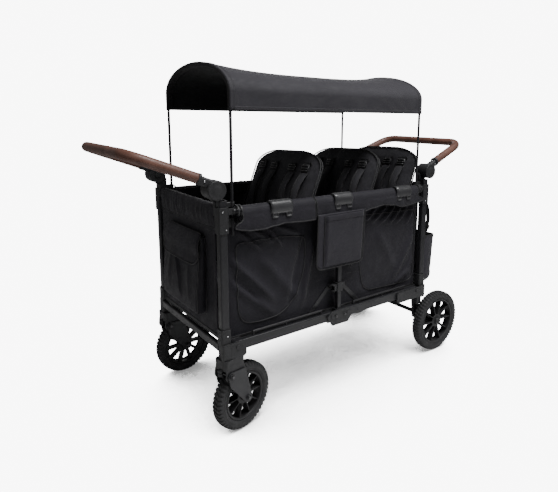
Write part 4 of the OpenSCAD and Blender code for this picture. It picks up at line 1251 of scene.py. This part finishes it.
def make_seats():
    back = puffed("seat_back", slab(back_outline(), SEAT_THICK - 0.012))
    for v in back.vertices:
        front = smooth_step((0.009 - v.co.x) / 0.008)
        v.co.x += 0.006 + seat_groove(v.co.y, v.co.z) * front
    base = puffed("seat_base", slab(box_outline(SEAT_HALF_Y - 0.004, 0.098, -0.098, 0.022), 0.030),
                  cap=0.007)
    for name, top_x in SEATS.items():
        place = (Matrix.Translation((top_x, 0, SEAT_TOP_Z)) @ Matrix.Rotation(SEAT_HANG, 4, "X")
                 @ Matrix.Rotation(SEAT_LEAN, 4, "Y"))
        mesh = back.copy()
        mesh.transform(place)
        made = piece(f"seat_cushion_{name}", mesh, "seat_fabric", "front_end", modifiers=[SMOOTHED],
                     crumple=TUB_KEEP)
        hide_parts(f"seat_back_{name}")
        for side_name, x in (("front", 0.0068), ("rear", 0.0172)):
            cord = tube([Vector((x, y, z)) for y, z in back_outline(-0.0008, 0.006)], 0.0027, 8,
                        closed=True, up=(1, 0, 0)).moved(place)
            piece(f"seat_piping_{name}_{side_name}", cord, "binding", "front_end", crumple=TUB_KEEP)
        make_harness(name, place)
        lay = (Matrix.Translation((BASE_MIDDLES[name], 0, BASE_TOP_Z))
               @ Matrix.Diagonal((BASE_DEPTHS[name] / 0.2, 1, 1, 1)) @ Matrix.Rotation(radians(90), 4, "Y"))
        mesh = base.copy()
        mesh.transform(lay)
        made = piece(f"seat_base_{name}", mesh, "seat_fabric", "front_end", modifiers=[SMOOTHED],
                     crumple=TUB_KEEP)
        if name == "front":
            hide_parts("seat_bases")


STRAPS_Y = (-0.150, -0.063, 0.063, 0.150)
PAD_HALF, PAD_LONG, PAD_TOP = 0.0225, 0.190, -0.090


def strap_bow(v):
    """How far a pad stands off the seat, v along its length from the slot."""
    return 0.0190 * sin(pi * min(max(v, 0.0), 1.0) ** 0.85) ** 1.3


def strap_pad(y, top):
    """A padded shoulder sleeve with a crowned front, in a seat's own frame."""
    def face(u, v, sign):
        du, dv = min(u, 1 - u) * 2, min(v, 1 - v) * 2 * PAD_LONG / (2 * PAD_HALF)
        crown = (1 - (1 - min(du, 1)) ** 2.6) * (1 - (1 - min(dv, 1)) ** 2.6)
        half = PAD_HALF * (1 - 0.10 * sin(pi * v) ** 2)
        x = -0.0012 - strap_bow(v) - (0.0056 * crown if sign else 0.0)
        return Vector((x, y + half * (2 * u - 1), top - PAD_LONG * v))

    front = grid(14, 40, lambda u, v: face(u, v, True))
    rear = grid(14, 40, lambda u, v: face(u, v, False))
    return Shape(front, turned_over(rear))


def bar(start, end, width, height, corner, up, steps=2):
    """A straight bar with a rounded section."""
    return sweep([start, end], rounded_box_outline(width, height, corner, steps), up=up)


def make_harness(name, place):
    """The straps of one row: sleeves, webbing, bound edges, stitches and the plastic adjusters."""
    pads, webs, edges, rows, plastics = Shape(), Shape(), Shape(), Shape(), Shape()
    flat = rounded_box_outline(0.0016, 0.025, 0.0007, 2)
    top = PAD_TOP
    foot = top - PAD_LONG
    for y in STRAPS_Y:
        pads.add(strap_pad(y, top))
        half = PAD_HALF * 0.97
        edge = bend_corners([(0, y - half, top - 0.001), (0, y - half, foot), (0, y + half, foot),
                             (0, y + half, top - 0.001)], 0.006, 4)
        edge = evenly(edge, 0.005, True)
        for p in edge:
            v = (top - p.z) / PAD_LONG
            p.y = y + (p.y - y) * (1 - 0.10 * sin(pi * min(max(v, 0), 1)) ** 2)
            p.x = -0.0022 - strap_bow(min(max(v, 0), 1))
        edges.add(tube(edge, 0.0019, 6, closed=True, up=(1, 0, 0)))
        inner = [Vector((p.x - 0.0030, y + (p.y - y) * 0.76,
                         p.z + (0.006 if p.z < top - PAD_LONG / 2 else -0.006)))
                 for p in edge]
        rows.add(stitches(inner, (1, 0, 0)))
        drop = curve([(-0.0030, y, foot + 0.012), (-0.0048, y, foot - 0.020),
                      (-0.0038, y, foot - 0.060), (-0.0030, y, foot - 0.100), (0.0035, y, foot - 0.136)], 6)
        webs.add(sweep(drop, flat, up=(0, 1, 0)))
        for z in (foot - 0.040, foot - 0.058):
            plastics.add(bar((-0.0058, y - 0.0165, z), (-0.0058, y + 0.0165, z), 0.003, 0.0045, 0.001,
                             (0, 0, 1)))
        for s in (-1, 1):
            side = y + s * 0.0158
            plastics.add(bar((-0.0056, side, foot - 0.034), (-0.0056, side, foot - 0.064), 0.003, 0.0045,
                             0.001, (1, 0, 0)))
        slot = bend_corners([(0.0010, y - 0.026, -0.052), (0.0010, y + 0.026, -0.052),
                             (0.0010, y + 0.026, -0.061), (0.0010, y - 0.026, -0.061)], 0.003, 3)
        edges.add(tube(slot, 0.0017, 6, closed=True, up=(1, 0, 0)))
        over = curve([(0.0030, y, -0.056), (-0.0030, y, -0.058), (-0.0046, y, -0.072),
                      (-0.0036, y, -0.098)], 6)
        webs.add(sweep(over, rounded_box_outline(0.0018, 0.038, 0.0007, 2), up=(0, 1, 0)))
        for z in (-0.066, -0.076, -0.086):
            plastics.add(bar((-0.0066, y - 0.0225, z), (-0.0066, y + 0.0225, z), 0.0040, 0.0052, 0.0015,
                             (0, 0, 1), 3))
        for s in (-1, 1):
            side = y + s * 0.0215
            plastics.add(bar((-0.0060, side, -0.0635), (-0.0060, side, -0.0885), 0.0050, 0.0040, 0.0015,
                             (1, 0, 0), 3))
    for kind, shape, finish in (("pads", pads, "pad_fabric"), ("webbing", webs, "webbing"),
                                ("binding", edges, "binding"), ("stitching", rows, "black_thread"),
                                ("adjusters", plastics, "clip_plastic")):
        made = piece(f"harness_{kind}_{name}", shape.moved(place), finish, "front_end", crumple=TUB_KEEP)
        if kind == "pads":
            if name == "front":
                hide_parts("harness_straps")


MAT_HALF_X, MAT_HALF_Y = 0.468, 0.234
MAT_LOW_Z, MAT_RIM_Z, MAT_TOP_Z, MAT_PILLOW = 0.3525, 0.3545, 0.3565, 0.0060
MAT_QUILT = 0.09


def make_floor_mat():
    """A quilted mat: soft diamonds between its sewn lines."""
    def top(u, v):
        x, y = MAT_HALF_X * (2 * u - 1), MAT_HALF_Y * (2 * v - 1)
        a, b = (x + y) / MAT_QUILT, (x - y) / MAT_QUILT
        pillow = (abs(sin(pi * a)) * abs(sin(pi * b))) ** 0.45
        rim = smooth_step(min(MAT_HALF_X - abs(x), MAT_HALF_Y - abs(y)) / 0.012)
        return Vector((x, y, MAT_TOP_Z + MAT_PILLOW * pillow * rim))

    upper = grid(180, 90, top)
    lower = grid(20, 10, lambda u,
                 v: Vector((MAT_HALF_X * (2 * u - 1), MAT_HALF_Y * (2 * v - 1), MAT_LOW_Z)))
    made = piece("quilted_floor_mat", Shape(upper, turned_over(lower)), "seat_fabric", "front_end",
                 crumple=TUB_KEEP)
    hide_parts("floor_mat")
    rim = bend_corners([(a * MAT_HALF_X, b * MAT_HALF_Y, MAT_RIM_Z) for a,
                        b in ((-1, -1), (1, -1), (1, 1), (-1, 1))],
                       0.012, 6)
    piece("floor_mat_binding", tube(evenly(rim, 0.008, True), 0.0028, 8, closed=True, up=(0, 0, 1)),
          "binding", "front_end", crumple=TUB_KEEP)


# ---------- handles ----------

PIVOT = Vector((0.513, 0, 0.857))
TILT = radians(21)
ARM_V, ARM_U, ARM_SLOPE = 0.256, 0.030, radians(5)
BEND_U, BEND_V, BEND_R = 0.218, 0.1773, 0.062
GRIP_R = 0.0170
GRIP_START_U = 0.0635
HUB_FACE_Y = 0.2755


def on_handle(u, v, w=0.0):
    """u is the distance from the hinge, v is along Y, and w is above the handle's middle line."""
    w += 0.018
    return PIVOT + Vector((u * cos(TILT) - w * sin(TILT), v, u * sin(TILT) + w * cos(TILT)))


def half_line(u0, grow=0.0, w=0.0):
    """One arm and half of the crossbar; grow moves the line outward in the handle's plane."""
    v0 = ARM_V - (u0 - ARM_U) * tan(ARM_SLOPE) + grow
    line = [on_handle(u0, v0, w)]
    r = BEND_R + grow
    for k in range(15):
        a = (pi / 2 - ARM_SLOPE) * (1 - k / 14)
        line.append(on_handle(BEND_U + r * cos(a), BEND_V + r * sin(a), w))
    return line


def both_arms(half, step):
    """A line along one arm, the crossbar and the other arm, from its first half."""
    return evenly(half + [Vector((p.x, -p.y, p.z)) for p in reversed(half)], step)


def make_grips():
    across = on_handle(0, 0, 1) - on_handle(0, 0, 0)
    for name, end in ENDS.items():
        body = f"{name}_handle"
        line = both_arms(half_line(GRIP_START_U), 0.006)
        made = piece(f"leather_grip_{name}", on_end(sweep(line, circle(GRIP_R, 24), up=across), end),
                     "grip_leather", body)
        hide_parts(f"{name}_handle_grip")
        # the seam along the inside of the grip, with its two rows of stitches
        seam = both_arms(half_line(GRIP_START_U + 0.0035, -GRIP_R * 0.82, -GRIP_R * 0.60), 0.006)
        piece(f"grip_seam_{name}", on_end(tube(seam, 0.0009, 6, up=across), end), "grip_thread", body)
        for row, (a, b) in enumerate(((-0.92, -0.42), (-0.68, -0.755))):
            beside = both_arms(half_line(GRIP_START_U + 0.0055, GRIP_R * a, GRIP_R * b), 0.004)
            piece(f"grip_stitching_{name}_{row}",
                  on_end(stitches(beside, tuple(across), 0.004, 0.003, 0.0005), end), "grip_thread", body)
        collars, rivets, faces = Shape(), Shape(), Shape()
        for side in SIDES.values():
            near = [on_handle(u, side * (ARM_V - (u - ARM_U) * tan(ARM_SLOPE))) for u in (0.057, 0.066)]
            collars.add(sweep(near, rounded_box_outline(0.0355, 0.0355, 0.0135, 5), up=across))
            at = on_handle(0.046, side * (ARM_V - 0.016 * tan(ARM_SLOPE) + 0.0140), -0.003)
            rivets.add(dome(0.0032, 0.0016, at, (0, side, 0)))
            top = on_handle(0.047, side * (ARM_V - 0.017 * tan(ARM_SLOPE)), 0.0112)
            rivets.add(dome(0.0028, 0.0014, top, tuple(across)))
            rings = [(1e-5, 0.0022), (0.0125, 0.0022), (0.0150, 0.0010), (0.0262, 0.0008), (0.0285, 0.0016),
                     (0.0304, 0.0002), (0.0310, -0.0030)]
            faces.add(lathe(rings, 56).moved(facing((PIVOT.x, side * HUB_FACE_Y, PIVOT.z), (0, side, 0))))
        piece(f"grip_collars_{name}", on_end(collars, end), "moulded_plastic", body,
              modifiers=[rounded(0.0012)])
        piece(f"handle_rivets_{name}", on_end(rivets, end), "steel", body)
        piece(f"handle_disc_faces_{name}", on_end(faces, end), "moulded_plastic", body)


# ---------- wheels ----------

TYRE_HALF = 0.0230
TYRE_DEEP = 0.034
TREAD = 0.0034
SMALL_TYRE_R, SMALL_COUNT, LARGE_COUNT = 0.13, 48, 58


def tyre_shape(r):
    """A tyre about the Z axis: body, sidewall rings, and the tread's blocks."""
    inner = r - TYRE_DEEP
    half = [(inner, 0.0150), (inner + 0.0015, 0.0185), (inner + 0.005, 0.0205), (inner + 0.009, 0.0212),
            (inner + 0.0100, 0.0222), (inner + 0.0114, 0.0222), (inner + 0.0124, 0.0213),
            (r - 0.0150, 0.0214),
            (r - 0.0115, 0.0205), (r - 0.0078, 0.0180), (r - TREAD, 0.0130), (r - TREAD + 0.0002, 0.0)]
    outline = half + [(a, -b) for a, b in reversed(half[:-1])]
    body = lathe(outline + outline[:1], 120)
    blocks = Shape()
    count = SMALL_COUNT if r < SMALL_TYRE_R else LARGE_COUNT
    turn = TAU / count

    def block(a0, a1, lower, upper, skew):
        """One block: lower and upper are the (radius, height) corners under and on top of it."""
        points = []
        for a in (a0, a1):
            for (q, z), (q2, z2) in zip(lower, upper):
                b = a + skew * z / TYRE_HALF
                points.append((q * cos(b), q * sin(b), z))
                points.append((q2 * cos(b), q2 * sin(b), z2))
        n = 2 * len(lower)
        faces = []
        for k in range(len(lower) - 1):
            i = 2 * k
            faces += [[i, i + 1, i + 3, i + 2], [n + i, n + i + 2, n + i + 3, n + i + 1],
                      [i + 1, n + i + 1, n + i + 3, i + 3]]
        faces += [[0, n, n + 1, 1], [n - 2, n - 1, 2 * n - 1, 2 * n - 2]]
        blocks.add((points, faces))

    for k in range(count):
        a = k * turn
        for s in (-1, 1):
            b = a + (0.5 * turn if s > 0 else 0)
            # a shoulder block that wraps down on to the sidewall
            lower = [(r - TREAD, s * 0.0070), (r - 0.0056, s * 0.0130), (r - 0.0082, s * 0.0172),
                     (r - 0.0118, s * 0.0200)]
            upper = [(r - 0.0004, s * 0.0070), (r - 0.0010, s * 0.0140), (r - 0.0040, s * 0.0196),
                     (r - 0.0122, s * 0.0216)]
            block(b - 0.31 * turn, b + 0.31 * turn, lower, upper, 0.0)
        lower = [(r - TREAD, -0.0052), (r - TREAD, 0.0052)]
        block(a + 0.02 * turn, a + 0.60 * turn, lower, [(r, -0.0052), (r, 0.0052)], 0.9 * turn)
    return Shape(body, blocks)


def hub_shape():
    """A round cap on each face of a hub, with a ring and a raised middle."""
    cap = [(0.0175, -0.0030), (0.0175, 0.0012), (0.0160, 0.0026), (0.0135, 0.0026), (0.0128, 0.0014),
           (0.0105, 0.0014), (0.0096, 0.0044), (0.0080, 0.0058), (1e-5, 0.0062)]
    upper = lathe(cap, 40).moved(Matrix.Translation((0, 0, 0.0210)))
    ring = lathe([(0.0300, 0.0095), (0.0300, 0.0120), (0.0285, 0.0130), (0.0170, 0.0145)], 48)
    return both_faces(upper, ring)


def rim_lip(r):
    """The rounded lip where a rim meets its tyre, on both sides."""
    a = r - TYRE_DEEP
    lip = lathe([(a - 0.0090, 0.0160), (a - 0.0080, 0.0182), (a - 0.0050, 0.0192), (a - 0.0012, 0.0186),
                 (a, 0.0160)], 96)
    return both_faces(lip)


CASTER_TURNS = {"near": 14, "far": 6}  # degrees, as the casters stand in the photograph


def make_wheels():
    for end_name in ENDS:
        for side_name in SIDES:
            node = f"{end_name}_tyre_{side_name}"
            lo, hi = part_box(node)
            centre = (lo + hi) / 2
            turn = radians(CASTER_TURNS[side_name]) if end_name == "front" else 0.0
            place = Matrix.Translation(centre) @ Matrix.Rotation(turn, 4,
                                                                 "Z") @ Matrix.Rotation(pi / 2, 4, "X")
            r = hi.z / 2
            body = f"wheel_{end_name}_{side_name}"
            tyre = piece(f"treaded_tyre_{end_name}_{side_name}", tyre_shape(r).moved(place), "tyre_rubber",
                         body, modifiers=[rounded(0.0007, 1)])
            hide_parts(node)
            piece(f"hub_caps_{end_name}_{side_name}", hub_shape().moved(place), "rim_plastic", body)
            piece(f"rim_lips_{end_name}_{side_name}", rim_lip(r).moved(place), "rim_plastic", body)
            if end_name == "front":
                make_fork_bolts(side_name, centre, turn)


FORK_PIVOT_BACK, FORK_PIVOT_UP, FORK_FACE = 0.074, 0.108, 0.0385


def make_fork_bolts(side_name, centre, turn):
    """Bolts of a caster fork: at the axle and at the sprung pivot."""
    away = Vector((-sin(turn), cos(turn), 0))
    ahead = Vector((cos(turn), sin(turn), 0))
    pivot = centre - ahead * FORK_PIVOT_BACK + Vector((0, 0, FORK_PIVOT_UP))
    steel_parts, rings = Shape(), Shape()
    for s in (-1, 1):
        for at, size in ((centre, 0.0062), (pivot, 0.0058)):
            face = at + away * (s * FORK_FACE)
            steel_parts.add(hex_bolt(size, 0.0042, face, tuple(away * s)))
            ring = lathe([(0.0090, -0.002), (0.0102, -0.0005), (0.0104, 0.0008), (0.0096, 0.0014),
                          (0.0066, 0.0014), (0.0066, -0.001)], 32)
            rings.add(ring.moved(facing(face, away * s)))
    piece(f"fork_bolts_{side_name}", steel_parts, "dark_steel", f"fork_{side_name}", smooth=False,
          modifiers=[rounded(0.0004, 1)])
    piece(f"fork_bolt_rings_{side_name}", rings, "moulded_plastic", f"fork_{side_name}")


# ---------- small hardware on the frame ----------


def make_clips():
    """The saddle clips on the upper rails: a bowed plate over the band, its rolled lip and two hooks."""
    nodes = {"front_rail_clips": (-0.278, "upper_front_rails"), "centre_clips": (0.0, "centre"),
             "rear_rail_clips": (0.333, "upper_rear_rails")}
    profile = curve([(0, 0.2860, 0.7655), (0, 0.2895, 0.7700), (0, 0.2915, 0.7850), (0, 0.2880, 0.7985),
                     (0, 0.2790, 0.8050), (0, 0.2690, 0.8062), (0, 0.2640, 0.8030)], 6)
    for node, (middle, body) in nodes.items():
        plates, hooks = Shape(), Shape()
        for side in SIDES.values():
            rows = []
            for k in range(25):
                x = 0.0445 * (k / 12 - 1)
                drop = 0.0045 * smooth_step((abs(x) - 0.036) / 0.0085)
                rows.append([Vector((middle + x, side * (p.y - drop), p.z - drop * 0.5)) for p in profile])
            m = len(profile)
            faces = [[i * m + k, i * m + k + 1, (i + 1) * m + k + 1, (i + 1) * m + k] for i in range(24)
                     for k in range(m - 1)]
            if side > 0:
                faces = [list(reversed(f)) for f in faces]
            plates.add(Shape(([p for row in rows for p in row], faces)))
            lip = [Vector((middle + 0.041 * (k / 6 - 1), side * 0.2885, 0.7655)) for k in range(13)]
            hooks.add(tube(lip, 0.0026, 10, up=(0, 0, 1)))
            for s in (-1, 1):
                x = middle + s * 0.028
                loop = bend_corners([(x - 0.0105, side * 0.2875, 0.767), (x + 0.0105, side * 0.2875, 0.767),
                                     (x + 0.0105, side * 0.2885, 0.7505),
                                     (x - 0.0105, side * 0.2885, 0.7505)],
                                    0.006, 5)
                hooks.add(tube(loop, 0.0027, 8, closed=True, up=(0, 1, 0)))
                hooks.add(bar((x - 0.009, side * 0.2868, 0.7575), (x + 0.009, side * 0.2868, 0.7575),
                              0.0035, 0.014, 0.0012, (0, 0, 1)))
        made = piece(f"{node}_plates", plates, "clip_plastic", body, modifiers=[thick(0.0030)])
        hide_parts(node)
        piece(f"{node}_hooks", hooks, "clip_plastic", body)


def make_hardware():
    for end_name, end in ENDS.items():
        rivets, rings = Shape(), Shape()
        for side in SIDES.values():
            for x, y, z, r in ((POST_X - 0.006, 0.2762, 0.728, 0.0026),
                               (POST_X + 0.006, 0.2762, 0.786, 0.0026),
                               (POST_X + 0.001, 0.2762, 0.372, 0.0024)):
                rivets.add(dome(r, 0.0014, (x, side * (y + (0.001 if z > 0.5 else 0.0085)), z),
                                (0, side, 0)))
            for x in (0.4325, 0.4435):
                arc = [(x, side * (0.2660 + 0.0215 * cos(radians(a))), 0.785 + 0.0185 * sin(
                    radians(a))) for a in range(-60, 241, 15)]
                rings.add(sweep(arc, rounded_box_outline(0.003, 0.0065, 0.001, 2), up=(1, 0, 0)))
        piece(f"post_rivets_{end_name}", on_end(rivets, end), "steel", f"{end_name}_end")
        piece(f"band_end_rings_{end_name}", on_end(rings, end), "moulded_plastic",
              f"upper_{end_name}_rails")
    bolts = Shape()
    for side in SIDES.values():
        for x in (-0.022, 0.022):
            bolts.add(hex_bolt(0.0052, 0.0034, (x, side * 0.2826, 0.322), (0, side, 0)))
    piece("hub_bolts", bolts, "dark_steel", "centre", smooth=False, modifiers=[rounded(0.0004, 1)])


def dress_frame():
    """Every CAD node takes the finish of its slot in the record."""
    for part in frame["record"]["subparts"]:
        data = frame["nodes"][part["node"]].data
        data.materials.clear()
        clip = part["node"].endswith("_clips")
        data.materials.append(FINISH["clip_plastic" if clip else part["material_slot"]])


# ---------- the scene ----------

make_camera()
make_light()
make_floor()
FINISH.update(make_finishes())
dress_frame()
make_canopy()
make_walls()
make_band()
make_side_pockets()
make_end_panels()
make_front_pocket()
make_rear_basket()
make_seats()
make_floor_mat()
make_grips()
make_wheels()
make_hardware()
make_clips()
